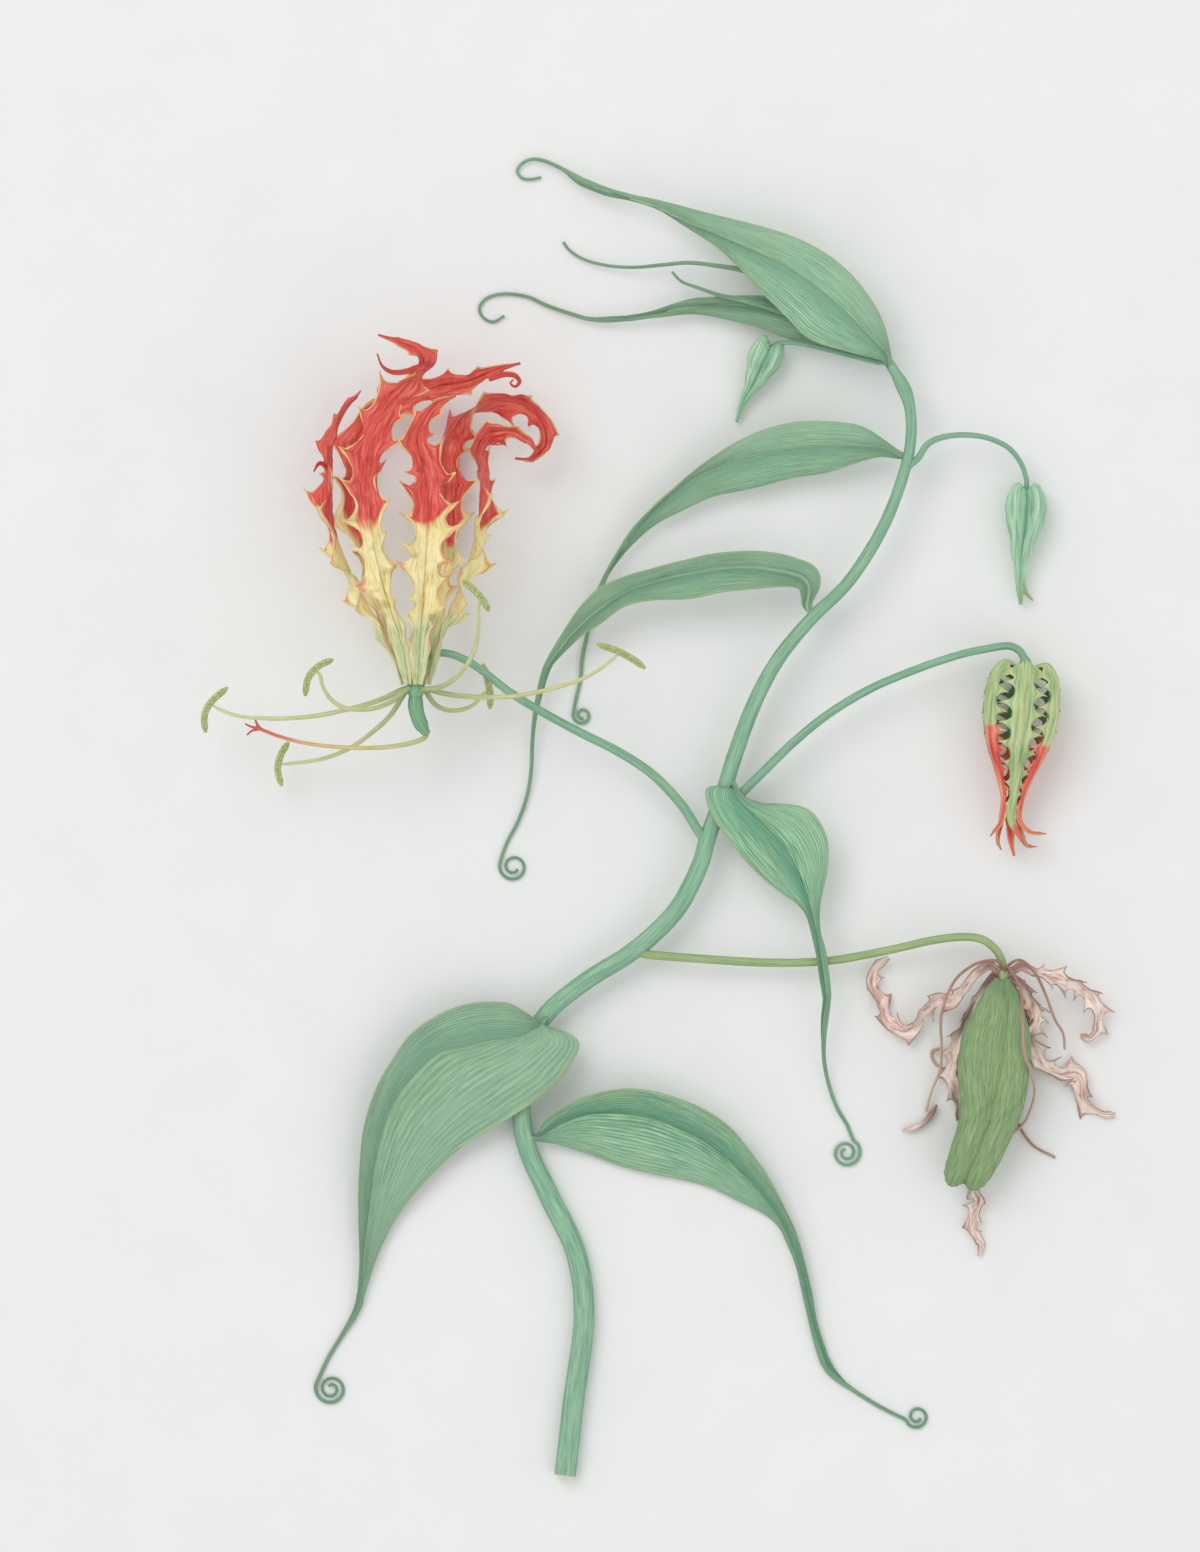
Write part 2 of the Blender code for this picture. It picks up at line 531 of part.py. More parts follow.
def tepal(name, azimuth, reach, tip, across, half=4.4, folds=(20, 20), phase=0.0):
    """A reflexed tepal: out from the receptacle and up round the flower's axis, then along its own tip."""
    angle = math.radians(azimuth)
    x, y, height = FLOWER
    route = [
        (
            x + out * (reach if along > 20 else 1) * math.cos(angle),
            y - along,
            height + out * (reach if along > 20 else 1) * math.sin(angle) * PIXEL / MM,
        )
        for along, out in TEPAL_PROFILE
    ]
    round_axis = Vector((-math.sin(angle), 0, math.cos(angle)))
    width = [(0, 0.8), (0.07, 1.0), (0.12, 1.7), (0.24, 3.4), (0.35, half), (0.62, half), (0.8, 0.62 * half),
             (0.9, 0.3 * half), (1, 0.45)]
    table = [(0, round_axis), (0.5, round_axis)] + [(share, Vector(way)) for share, way in across]
    ribbon(
        name, RED, route + tip, lambda share: keyed(share, width) * MM, TEPAL_SHARES, table, TEPAL_THICKNESS,
        folds, crisped(0.42, 1.5, phase),
    )


TEPALS = {
    "tepal_left": dict(
        azimuth=172, reach=1.08,
        tip=[(334, 446, 22), (343, 419, 24), (363, 395, 27)],
        across=[(0.75, (-0.3, -0.2, -0.9)), (1, (-0.6, -0.5, -0.6))],
    ),
    "tepal_front_left": dict(
        azimuth=124, reach=0.98, phase=0.5,
        tip=[(377, 447, 34), (392, 415, 35), (412, 388, 36), (425, 370, 38), (420, 357, 40), (403, 350, 41),
             (382, 343, 42)],
        across=[(0.72, (-0.9, -0.3, -0.3)), (0.84, (-0.6, -0.7, 0.2)), (1, (0.3, -0.9, 0.2))],
    ),
    "tepal_front": dict(
        azimuth=80, reach=0.98,
        tip=[(420, 447, 39), (428, 424, 38), (441, 409, 38), (458, 402, 40)],
        across=[(0.75, (-0.9, 0.1, 0.2)), (1, (-0.5, 0.8, 0.2))],
    ),
    "tepal_right": dict(
        azimuth=14, reach=0.85, phase=0.5,
        tip=[(477, 455, 26), (487, 438, 28), (508, 434, 30), (527, 442, 31), (538, 456, 30)],
        across=[(0.72, (-0.3, 0.6, 0.7)), (1, (0.7, 0.5, 0.3))],
    ),
    "tepal_back_right": dict(
        azimuth=292, reach=0.98,
        tip=[(449, 442, 5), (464, 417, 8), (494, 402, 11), (524, 405, 13), (543, 423, 13), (546, 445, 10), (532, 459, 7),
             (515, 458, 5)],
        across=[(0.66, (0.5, 0.3, 0.8)), (0.78, (0.0, 0.8, 0.6)), (0.9, (0.7, 0.4, 0.5)), (1, (0.2, -0.8, 0.5))],
    ),
    "tepal_back_left": dict(
        azimuth=222, reach=1.0, phase=0.5,
        tip=[(360, 445, 9), (378, 415, 8), (410, 396, 9), (440, 387, 14), (470, 382, 17), (497, 372, 20), (521, 366, 21)],
        across=[(0.6, (0.6, 0.3, -0.4)), (0.75, (0.0, 0.9, 0.3)), (1, (-0.1, 0.9, 0.2))],
    ),
}


def open_flower():
    for name, shape in TEPALS.items():
        tepal(name, **shape)


STAMENS = {
    "left": ([(404, 690, 21), (380, 701, 22), (349, 710, 22.6), (312, 717, 22.6), (273, 719, 22), (239, 716, 21),
              (219, 708, 20)], [(230, 688, 20), (214, 702, 20), (207, 716, 20), (208, 733, 20)]),
    "front_left": ([(408, 690, 23.2), (392, 703, 26), (371, 710, 28.6), (349, 709, 30.6), (334, 700, 32),
                    (326, 686, 33.2), (324, 676.5, 34)],
                   [(337, 661, 34), (322, 668, 34.3), (312, 680, 34), (309, 697, 33.4)]),
    "low_left": ([(407, 692, 19.2), (391, 716, 17), (371, 734, 15), (349, 749, 13), (322, 759, 11.4), (286, 764, 9.5)],
                 [(289, 742, 9.4), (281, 755, 9.2), (278, 770, 9.2), (282, 786, 9.4)]),
    "right": ([(430, 690, 21), (450, 695, 22.4), (484, 698, 23.8), (521, 696, 24.4), (557, 688, 24), (588, 677, 23),
               (614.5, 658.5, 21.9)], [(597, 645, 22), (615, 651, 21.6), (631, 659, 21.6), (645, 669, 22)]),
    "low_right": ([(426, 690.5, 19.5), (436, 705, 16.8), (453, 711, 14), (472, 706, 11.4), (484, 693.5, 8.8)],
                  [(483, 664, 8.6), (487, 678, 8), (490, 693, 8), (490, 709, 8.2)]),
    "front_right": ([(426, 690, 23.4), (444, 687, 27), (462, 675, 31), (475, 654, 34), (480, 630, 36), (480.5, 608, 37.4)],
                    [(465, 584, 38), (475, 592, 38.4), (484, 602, 38.4), (491, 614, 38)]),
}
ANTHER_RADII = [(0, 0.45), (0.12, 0.95), (0.5, 1.0), (0.88, 0.95), (1, 0.45)]


def stamens():
    for name, (route, anther) in STAMENS.items():
        tube("filament_" + name, PALE_GREEN, route, [(0, 0.6), (0.6, 0.5), (1, 0.36)], 5, even(11))
        tube("anther_" + name, OLIVE, anther, ANTHER_RADII, 6, even(7))


def pistil():
    tube(
        "ovary", GREEN, [(417, 693, 21), (417, 708, 20.8), (421, 722, 20.2), (428, 734, 19.4)],
        [(0, 1.4), (0.3, 1.8), (0.75, 1.7), (1, 1.0)], 9, even(8), lobes=3, depth=0.22,
    )
    main = tube(
        "style_main", PALE_GREEN,
        [(426, 738, 18.0), (404, 745, 17.6), (374, 748, 17.4), (337, 747, 17.4), (306, 743, 17.2), (279, 736, 17),
         (257, 727, 17)],
        [(0, 0.55), (1, 0.4)], 6, even(12),
    )
    branches = [
        tube("branch", RED, [(262, 729, 17), (253, 727, 17.4), (247, 724, 17.8)], [(0, 0.36), (1, 0.2)], 5, even(3)),
        tube("branch", RED, [(262, 729, 17), (258, 723, 16.6), (256, 717, 16.2)], [(0, 0.36), (1, 0.2)], 5, even(3)),
        tube("branch", RED, [(262, 729, 17), (254, 731, 17.6), (249, 735, 18.4)], [(0, 0.36), (1, 0.2)], 5, even(3)),
    ]
    joined("style", [main, *branches], PALE_GREEN)


BUD_TOP = (1024.5, 671, 9.4)
BUD_TIP = (1012, 806, 7.4)
BUD_PROFILE = [(0, 8.5), (-6, 16), (-7, 27), (8, 37), (40, 40), (72, 34), (104, 20), (128, 11.5), (148, 11)]
BUD_TEPALS = {
    "front": (90, [(1019, 836, 10.2), (1024, 844, 10.4)]),
    "front_right": (30, [(1030, 832, 8.8), (1046, 834, 9.2)]),
    "front_left": (150, [(998, 826, 8.8), (990, 836, 9.2)]),
    "back_left": (210, [(998, 838, 6.4), (1001, 850, 6.2)]),
    "back": (270, [(1012, 842, 4.8), (1015, 856, 4.2)]),
    "back_right": (330, [(1026, 844, 5.8), (1037, 847, 5.4)]),
}
BUD_WIDTH = [
    (0, 0.6), (0.08, 1.1), (0.16, 2.6), (0.32, 3.9), (0.5, 3.3), (0.62, 1.7), (0.72, 0.8), (0.94, 0.6), (1, 0.4),
]
BUD_BITES = 6
BUD_SHARES = [
    0, 0.05, 0.1, 0.15,
    *[0.2 + 0.1 * (bite + step) for bite in range(BUD_BITES) for step in (0, 0.25, 0.5, 0.75)],
    0.8, 0.9, 1,
]


def bitten(share, side):
    """Round bites out of the edges of the opening bud's tepals, with points between them."""
    turn = 10 * (share - 0.2) + 0.5 * side
    strength = 1.0 if 0.17 < share < 0.82 else 0.0
    return strength * (0.2 - 0.55 * abs(math.sin(math.pi * turn)) ** 0.7), 0.0


def opening_bud():
    """Six tepals that arch from the stalk and still meet at the tip, with bites out of their edges."""
    top, tip = Vector(BUD_TOP), Vector(BUD_TIP)
    along = Vector((tip.x - top.x, tip.y - top.y, 0)).normalized()
    sideways = Vector((along.y, -along.x, 0))
    drop = (tip.z - top.z) / (tip - top).length
    for name, (azimuth, end) in BUD_TEPALS.items():
        angle = math.radians(azimuth)
        route = []
        for distance, out in BUD_PROFILE:
            place = top + along * distance + sideways * (out * math.cos(angle))
            lift = out * math.sin(angle) * PIXEL / MM
            route.append((place.x, place.y, top.z + drop * distance + lift))
        round_axis = Vector((-math.sin(angle) * sideways.x, math.sin(angle) * sideways.y, math.cos(angle)))
        ribbon(
            "opening_bud_" + name, BUD_GREEN, route + end, lambda share: keyed(share, BUD_WIDTH) * MM, BUD_SHARES,
            [(0, round_axis), (1, round_axis)], TEPAL_THICKNESS, (-14, -14), bitten,
        )


def closed_buds():
    tube(
        "green_bud", BUD_GREEN, [(1027, 490, 4.6), (1026, 520, 4.6), (1022, 555, 4.0), (1021, 580, 3.2), (1022, 604, 2.6)],
        [(0, 2.2), (0.04, 3.6), (0.12, 4.5), (0.25, 4.3), (0.5, 2.6), (0.7, 1.4), (0.85, 0.9), (1, 0.45)], 12,
        [0, 0.04, 0.1, 0.18, 0.28, 0.4, 0.52, 0.66, 0.83, 1], lobes=3, depth=0.10,
    )
    tube(
        "small_bud", BUD_GREEN, [(771, 345, 4.2), (765, 358, 4.0), (754, 382, 3.2), (743, 402, 2.2), (737, 421, 1.4)],
        [(0, 2.2), (0.07, 3.4), (0.2, 3.7), (0.4, 2.5), (0.6, 1.4), (0.8, 0.8), (1, 0.35)], 12,
        [0, 0.06, 0.15, 0.26, 0.4, 0.56, 0.76, 1], lobes=3, depth=0.10,
    )


CARPELS = [
    [(998, 979, 9.2), (984, 1020, 9.8), (976, 1065, 9.6), (978, 1110, 9.2), (964, 1155, 8.2), (950, 1186, 7.2)],
    [(1006, 979, 9.2), (1012, 1020, 9.4), (1011, 1065, 9.4), (1003, 1110, 9.0), (986, 1155, 8.2), (970, 1190, 7.4)],
    [(1002, 979, 8.2), (998, 1020, 6.4), (994, 1065, 5.8), (989, 1110, 5.8), (973, 1150, 5.8), (958, 1184, 6.0)],
]
CARPEL_RADII = [(0, 0.9), (0.08, 2.2), (0.3, 4.1), (0.55, 4.2), (0.8, 3.4), (0.93, 2.5), (1, 1.4)]


def pod():
    """The capsule: three swollen carpels grown together, parting at their tips."""
    parts = [
        tube("carpel", POD_GREEN, route, CARPEL_RADII, 10, [0, 0.06, 0.14, 0.24, 0.36, 0.5, 0.64, 0.78, 0.9, 1])
        for route in CARPELS
    ]
    core = [tuple(sum(values) / 3 for values in zip(*places)) for places in zip(*CARPELS)]
    parts.append(tube("core", POD_GREEN, core, [(0, 0.8), (0.15, 1.8), (0.85, 1.6), (1, 0.8)], 6, even(6)))
    joined("pod", parts, POD_GREEN)


WITHERED = {
    "left": ([(994, 968, 10.4), (988, 965, 10.4), (975, 974, 9.2), (966, 987, 7.6), (955, 1000, 6.0), (940, 999, 4.6),
              (923, 1010, 3.4), (915, 1026, 2.6), (900, 1030, 2.2), (887, 1022, 2.2), (880, 1004, 2.2), (871, 985, 2.0),
              (875, 970, 1.8), (890, 959, 1.6)], 1.5),
    "left_low": ([(995, 975, 7.2), (984, 990, 6.0), (970, 1012, 4.2), (960, 1042, 2.4), (955, 1075, 1.3),
                  (958, 1100, 1.2), (958, 1122, 1.2)], 1.6),
    "right_top": ([(1013, 970, 10.0), (1022, 966, 10.2), (1035, 973, 9.4), (1060, 979, 7.6), (1081, 985, 6.0),
                   (1094, 1000, 4.6), (1097, 1019, 3.4), (1093, 1037, 2.4), (1082, 1037, 1.8)], 1.6),
    "right": ([(1012, 978, 7.6), (1023, 986, 7.0), (1032, 1000, 6.0), (1034, 1020, 5.0), (1030, 1044, 4.0)], 1.6),
    "right_low": ([(1010, 984, 5.4), (1026, 1014, 2.6), (1033, 1046, 1.5), (1045, 1070, 1.2), (1064, 1077, 1.2),
                   (1081, 1077, 1.4), (1085, 1098, 1.4), (1100, 1112, 1.3), (1117, 1116, 1.0)], 1.7),
    "below": ([(1003, 985, 4.4), (1008, 1014, 1.5), (1010, 1060, 0.5), (1002, 1110, 0.5), (988, 1155, 0.6),
               (979, 1188, 0.9), (982, 1203, 1.1), (975, 1219, 1.2), (974, 1233, 1.1), (981, 1245, 0.9),
               (980, 1258, 0.7)], 1.3),
}
THORNS = 8  # points along each edge of a withered tepal


def withered_tepals():
    for index, (name, (route, half)) in enumerate(WITHERED.items()):
        hidden = 0.6 if name == "below" else 0.2
        width = [(0, 0.6), (hidden, 0.7), (hidden + 0.15, half), (0.85, half), (0.94, 0.8), (1, 0.4)]

        def thorned(share, side):
            turn = THORNS * (share - hidden) / (0.95 - hidden) + 0.5 * side + 0.3 * index
            return (0.6 - 1.1 * abs(math.sin(math.pi * turn)) ** 0.7) if hidden < share < 0.95 else 0.0, 0.0

        ribbon(
            "withered_tepal_" + name, BROWN, route, lambda share: keyed(share, width) * MM,
            [0, 0.5 * hidden, *[hidden + (0.95 - hidden) * step / 20 for step in range(21)], 1],
            None, WITHERED_THICKNESS, (25, 25), thorned,
        )


WITHERED_THREADS = {
    "left": [(998, 962, 11.4), (988, 960, 12.2), (972, 965, 12), (956, 978, 10.6), (946, 998, 8.6), (941, 1020, 6.6),
             (942, 1046, 4.6), (941, 1069, 3.4), (932, 1094, 2.0), (927, 1113, 1.4)],
    "curl": [(997, 981, 6.2), (980, 1000, 4.2), (968, 1030, 2.0), (964, 1056, 0.9), (949, 1070, 0.6), (936, 1064, 0.5),
             (933, 1053, 0.5), (942, 1049, 0.5)],
    "right": [(1009, 964, 11.2), (1020, 960, 12.2), (1034, 972, 11.6), (1046, 996, 8.8), (1055, 1019, 6.4),
              (1064, 1034, 4.6), (1066, 1050, 3.2)],
    "front": [(1006, 966, 11.6), (1013, 974, 13.4), (1020, 993, 14.6), (1021, 1022, 15), (1023, 1053, 14.4),
              (1030, 1071, 11.6), (1035, 1092, 7.4), (1030, 1115, 3.0), (1022, 1128, 1.4), (1008, 1140, 0.6)],
}
THREAD_RADII = [(0, 0.36), (1, 0.3)]


def withered_threads():
    for name, route in WITHERED_THREADS.items():
        tube("withered_thread_" + name, BROWN, route, THREAD_RADII, 4, even(16))
    tube("withered_anther", BROWN, [(938, 1106, 1.4), (929, 1120, 1.2), (917, 1129, 1.0), (903, 1132, 0.9)],
         [(0, 0.4), (0.2, 0.9), (0.8, 0.8), (1, 0.3)], 6, even(6))


def main():
    for leftover in list(bpy.data.objects):
        bpy.data.objects.remove(leftover)
    stem()
    leaves()
    stalks()
    open_flower()
    stamens()
    pistil()
    opening_bud()
    closed_buds()
    pod()
    withered_tepals()
    withered_threads()


main()
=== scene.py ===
"""The looks of the cut glory lily shoot: its leaves, crisped tepals, anthers, buds, pod and withered flower.

Metres, +Z up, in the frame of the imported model. Routes are plans read from above, as in the part's source:
each point is a photograph pixel, x to the right and y down, then a height over the surface in millimetres.
"""

import math

import bmesh
import bpy
import numpy as np
from mathutils import Matrix, Vector, noise


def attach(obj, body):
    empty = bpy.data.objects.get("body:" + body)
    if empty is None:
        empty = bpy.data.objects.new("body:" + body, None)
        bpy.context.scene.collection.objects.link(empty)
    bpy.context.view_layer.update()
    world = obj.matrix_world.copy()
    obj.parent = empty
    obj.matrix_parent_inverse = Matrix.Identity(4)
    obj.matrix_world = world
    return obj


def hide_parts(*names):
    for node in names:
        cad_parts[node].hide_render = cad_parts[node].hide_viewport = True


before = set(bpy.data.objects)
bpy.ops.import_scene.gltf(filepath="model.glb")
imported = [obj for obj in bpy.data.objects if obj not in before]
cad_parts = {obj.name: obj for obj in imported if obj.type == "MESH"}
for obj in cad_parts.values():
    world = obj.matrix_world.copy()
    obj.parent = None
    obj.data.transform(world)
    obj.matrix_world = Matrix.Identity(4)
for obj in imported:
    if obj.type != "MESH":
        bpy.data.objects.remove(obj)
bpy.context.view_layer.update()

MM = 0.001
PERIANTH_LENGTH = 75 * MM  # receptacle to crown of the open flower, which sets the scale of the whole shoot
PERIANTH_PIXELS = 341
PIXEL = PERIANTH_LENGTH / PERIANTH_PIXELS
MIDDLE_PIXEL = (660.2, 817.2)  # over the origin
MIDDLE_OF_PICTURE = (600, 776)
PICTURE_HEIGHT = 1552  # pixels
UP = Vector((0, 0, 1))


def at(x, y, height):
    """A photograph pixel and a height in millimetres, as a place in metres."""
    return Vector(((x - MIDDLE_PIXEL[0]) * PIXEL, (MIDDLE_PIXEL[1] - y) * PIXEL, height * MM))


def between(share, table):
    """The values before and after a share in a table of (share, value) pairs, and the part of the way."""
    for (low, first), (high, second) in zip(table, table[1:]):
        if share <= high:
            return first, second, max(0.0, share - low) / (high - low)
    return table[-1][1], table[-1][1], 0.0


def keyed(share, table):
    """The value at a share of the length, on straight lines between the pairs of a table."""
    first, second, part = between(share, table)
    return first + (second - first) * part


def eased(share, table):
    """As keyed, but swelling smoothly from one pair of the table to the next."""
    first, second, part = between(share, table)
    return first + (second - first) * part * part * (3 - 2 * part)


def smooth_step(value):
    value = min(1.0, max(0.0, value))
    return value * value * (3 - 2 * value)


def bell(values, width):
    """1 where the values are 0, and next to nothing past twice the width."""
    return np.exp(-((values / width) ** 2))


def inside_ends(shares, stretch, least=0):
    """A column of 1 for each share, which falls to least over a stretch at both ends."""
    return np.clip(np.minimum(shares, 1 - shares) / stretch, least, 1)[:, None]


def smooth_line(points, steps=10):
    """A dense line on a smooth curve through the points, with this many steps between two of them."""
    ends = [2 * points[0] - points[1], *points, 2 * points[-1] - points[-2]]
    line = []
    for a, b, c, d in zip(ends, ends[1:], ends[2:], ends[3:]):
        for step in range(steps):
            t = step / steps
            square, cube = 2 * a - 5 * b + 4 * c - d, 3 * b - a - 3 * c + d
            line.append(0.5 * (2 * b + (c - a) * t + square * t**2 + cube * t**3))
    return [*line, points[-1]]


def line_of(route, steps=16):
    """The dense line of a route, in metres."""
    return smooth_line([at(*p) for p in route], steps)


def length_of(line):
    return sum((b - a).length for a, b in zip(line, line[1:]))


def spaced(line, shares):
    """The points at these shares of a line's length."""
    lengths = [0.0]
    for first, second in zip(line, line[1:]):
        lengths.append(lengths[-1] + (second - first).length)
    found = []
    index = 0
    for share in shares:
        wanted = share * lengths[-1]
        while index < len(line) - 2 and lengths[index + 1] < wanted:
            index += 1
        part = (wanted - lengths[index]) / (lengths[index + 1] - lengths[index])
        found.append(line[index].lerp(line[index + 1], part))
    return found


def even(count, first=0):
    """Shares from 0 to 1 in equal steps. With first=1 the one at 0 is left out."""
    return [step / count for step in range(first, count + 1)]


def tangents(points):
    """The direction of travel at each point."""
    last = len(points) - 1
    return [(points[min(i + 1, last)] - points[max(i - 1, 0)]).normalized() for i in range(last + 1)]


def ripple(point, size, seed):
    """Smooth noise from -1 to 1, with features of a size in metres."""
    return noise.noise(Vector(point) / size + Vector((seed, 2.3 * seed, -seed)))


def rooted(route, root, share):
    """The route, started this share of the way from its first point to a place inside what carries it."""
    return [Vector(route[0]).lerp(Vector(root), share), *route]


def unit(vectors):
    """An array of vectors over a grid, each made one long."""
    return vectors / np.maximum(np.linalg.norm(vectors, axis=2, keepdims=True), 1e-12)


def normals_of(middle):
    """The unit normals of a grid of points, on the side that its left edge turns up to."""
    return unit(np.cross(np.gradient(middle, axis=1), np.gradient(middle, axis=0)))


def sheet_rings(grid, columns, half_thickness, relief, rim=0.1 * MM):
    """Rings of points round a sheet, and the skin coordinates of each: across, face and metres along.

    half_thickness and relief are arrays over the grid. relief moves the sheet along its normals, and rim is
    how far its edges are rounded out. The sheet is lifted where it would sink into the surface.
    """
    middle = np.array([[tuple(p) for p in row] for row in grid])
    middle = middle + normals_of(middle) * relief[:, :, None]
    normals = normals_of(middle)
    upper = middle + normals * half_thickness[:, :, None]
    lower = middle - normals * half_thickness[:, :, None]
    lift = np.maximum(0.0, -np.minimum(upper[:, :, 2], lower[:, :, 2]))
    upper[:, :, 2] += lift
    lower[:, :, 2] += lift
    outward = unit(middle[:, [0, -1]] - middle[:, [1, -2]])
    rims = (upper[:, [0, -1]] + lower[:, [0, -1]]) / 2 + outward * rim
    rims[:, :, 2] = np.maximum(rims[:, :, 2], 0.0)
    rings = np.concatenate([rims[:, :1], upper, rims[:, 1:], lower[:, ::-1]], axis=1)
    rib = middle[:, middle.shape[1] // 2]
    along = np.concatenate([[0.0], np.cumsum(np.linalg.norm(np.diff(rib, axis=0), axis=1))])
    count = len(grid)
    across = np.tile(np.concatenate([[columns[0]], columns, [columns[-1]], columns[::-1]]), (count, 1))
    face = np.tile(np.concatenate([[0], np.ones(len(columns)), [0], -np.ones(len(columns))]), (count, 1))
    skin = np.stack([across, face, np.tile(along[:, None], (1, rings.shape[1]))], axis=2)
    return rings, skin


EDGE_THINNING = 0.68  # how much thinner a ribbon is at its edges than along its rib
TIP_STRETCH, TIP_THICKNESS = 0.03, 0.35  # the share of a ribbon's length that thins, and what it thins to
CRUMPLE_SIZE = 2.2 * MM
CREASE_DEPTH, CREASE_WIDTH = 0.14 * MM, 0.16  # along the rib
RIBBON_RIM = 0.06 * MM


def ribbon(
    route, half_width, stations, columns, across, thickness, fold, waves, crumple, seed, lean, roll=None,
):
    """The rings of a long narrow blade along its rib, with horned or bitten edges.

    half_width is a function of share, in metres. across points to the left edge, which is level without it.
    fold is the angle in degrees by which both halves rise from the rib. waves is a function of share and side
    that gives the edge's extra width factor and its lift in metres. lean draws the horns towards the tip, and
    roll is a function of share: the angle by which the blade is turned round its rib.
    """
    shares = even(stations)
    points = spaced(line_of(route), shares)
    vs = np.array([1 - 2 * step / columns for step in range(columns + 1)])
    fold = math.radians(fold)
    grid = []
    for share, point, travel in zip(shares, points, tangents(points)):
        normal = travel.cross(keyed(share, across) if across else UP.cross(travel)).normalized()
        level = normal.cross(travel)
        half = half_width(share)
        row = []
        for v in vs:
            factor, lift = waves(share, 0 if v > 0 else 1)
            reach = abs(v) * half * (1 + factor * v * v)
            sideways = level * (math.copysign(reach, v) * math.cos(fold))
            place = point + sideways + normal * (reach * math.sin(fold) + lift * v * v)
            row.append(place + travel * (lean * max(0.0, factor) * half * abs(v) ** 5))
        if roll:
            turn = Matrix.Rotation(roll(share), 3, travel)
            row = [point + turn @ (p - point) for p in row]
        grid.append(row)
    tips = inside_ends(np.array(shares), TIP_STRETCH, TIP_THICKNESS)
    half_thickness = np.tile((thickness / 2) * (1 - EDGE_THINNING * np.abs(vs) ** 2), (len(grid), 1))
    relief = np.array([[crumple * ripple(p, CRUMPLE_SIZE, seed) for p in row] for row in grid])
    relief = relief * tips - CREASE_DEPTH * bell(vs, CREASE_WIDTH) * tips
    return sheet_rings(grid, vs, half_thickness * tips, relief, RIBBON_RIM)


def tube_rings(
    route, radii, step, sides, lobes=0, depth=0.0, facing=math.pi / 2, ribs=0, rib_depth=0.0, grain=0.0,
    seed=0.0, start=0.0,
):
    """Rings of points round a stem or swollen part, and their skin coordinates as for a sheet.

    step is the distance between two rings. The grooves between lobes have a depth, and the ribs stand up by
    rib_depth, both as shares of the radius. grain is a roughness in metres, and along counts from start.
    """
    line = line_of(route)
    length = length_of(line)
    shares = even(max(8, math.ceil(length / step)))
    points = spaced(line, shares)
    rings, skin = [], []
    for share, point, travel in zip(shares, points, tangents(points)):
        across = UP.cross(travel).normalized()
        normal = travel.cross(across)
        ring, marks = [], []
        for side in range(sides):
            angle = 2 * math.pi * (side + 0.5) / sides
            groove = depth * (0.5 - 0.5 * math.cos(lobes * (angle - facing)))
            swell = 1 - groove + rib_depth * math.cos(ribs * angle)
            reach = eased(share, radii) * MM * swell
            way = across * math.cos(angle) + normal * math.sin(angle)
            if grain:
                reach += grain * ripple(point + way * reach, 5 * grain + 0.4 * MM, seed)
            place = point + way * reach
            place.z = max(0.0, place.z)
            ring.append(tuple(place))
            marks.append((math.cos(angle), math.sin(angle), start + share * length))
        rings.append(ring)
        skin.append(marks)
    return np.array(rings), np.array(skin)


def faces_over(start, count, around):
    """The faces of a closed skin over a count of rings, whose points are numbered from start."""
    faces = []
    for base in range(start, start + (count - 1) * around, around):
        for j in range(around):
            k = (j + 1) % around
            faces.append((base + j, base + k, base + around + k, base + around + j))
    half = around // 2
    for base in (start, start + (count - 1) * around):
        faces.append((base, base + 1, base + around - 1))
        for j in range(1, half - 1):
            faces.append((base + j, base + j + 1, base + around - j - 1, base + around - j))
        faces.append((base + half - 1, base + half, base + half + 1))
    return faces


def piece(name, shells, finish):
    """A closed mesh over one or more runs of rings, which stands for its node of the model."""
    faces = []
    start = 0
    for rings, skin in shells:
        count, around = rings.shape[:2]
        faces += faces_over(start, count, around)
        start += count * around
    points = np.concatenate([rings.reshape(-1, 3) for rings, skin in shells])
    marks = np.concatenate([skin.reshape(-1, 3) for rings, skin in shells])
    data = bpy.data.meshes.new(name)
    data.from_pydata([tuple(p) for p in points], [], faces)
    mesh = bmesh.new()
    mesh.from_mesh(data)
    bmesh.ops.recalc_face_normals(mesh, faces=mesh.faces)
    mesh.to_mesh(data)
    mesh.free()
    attribute = data.attributes.new("skin", "FLOAT_VECTOR", "POINT")
    attribute.data.foreach_set("vector", marks.astype(np.float32).ravel())
    data.shade_smooth()
    data.set_sharp_from_angle(angle=math.radians(60))
    data.materials.append(finish)
    made = bpy.data.objects.new("look_" + name, data)
    bpy.context.scene.collection.objects.link(made)
    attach(made, "root")
    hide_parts(name)


def tint(red, green, blue):
    """A colour given as it looks on a screen, 0 to 255, in the linear numbers that shaders use."""
    values = [c / 255 for c in (red, green, blue)]
    return (*[c / 12.92 if c <= 0.04045 else ((c + 0.055) / 1.055) ** 2.4 for c in values], 1)


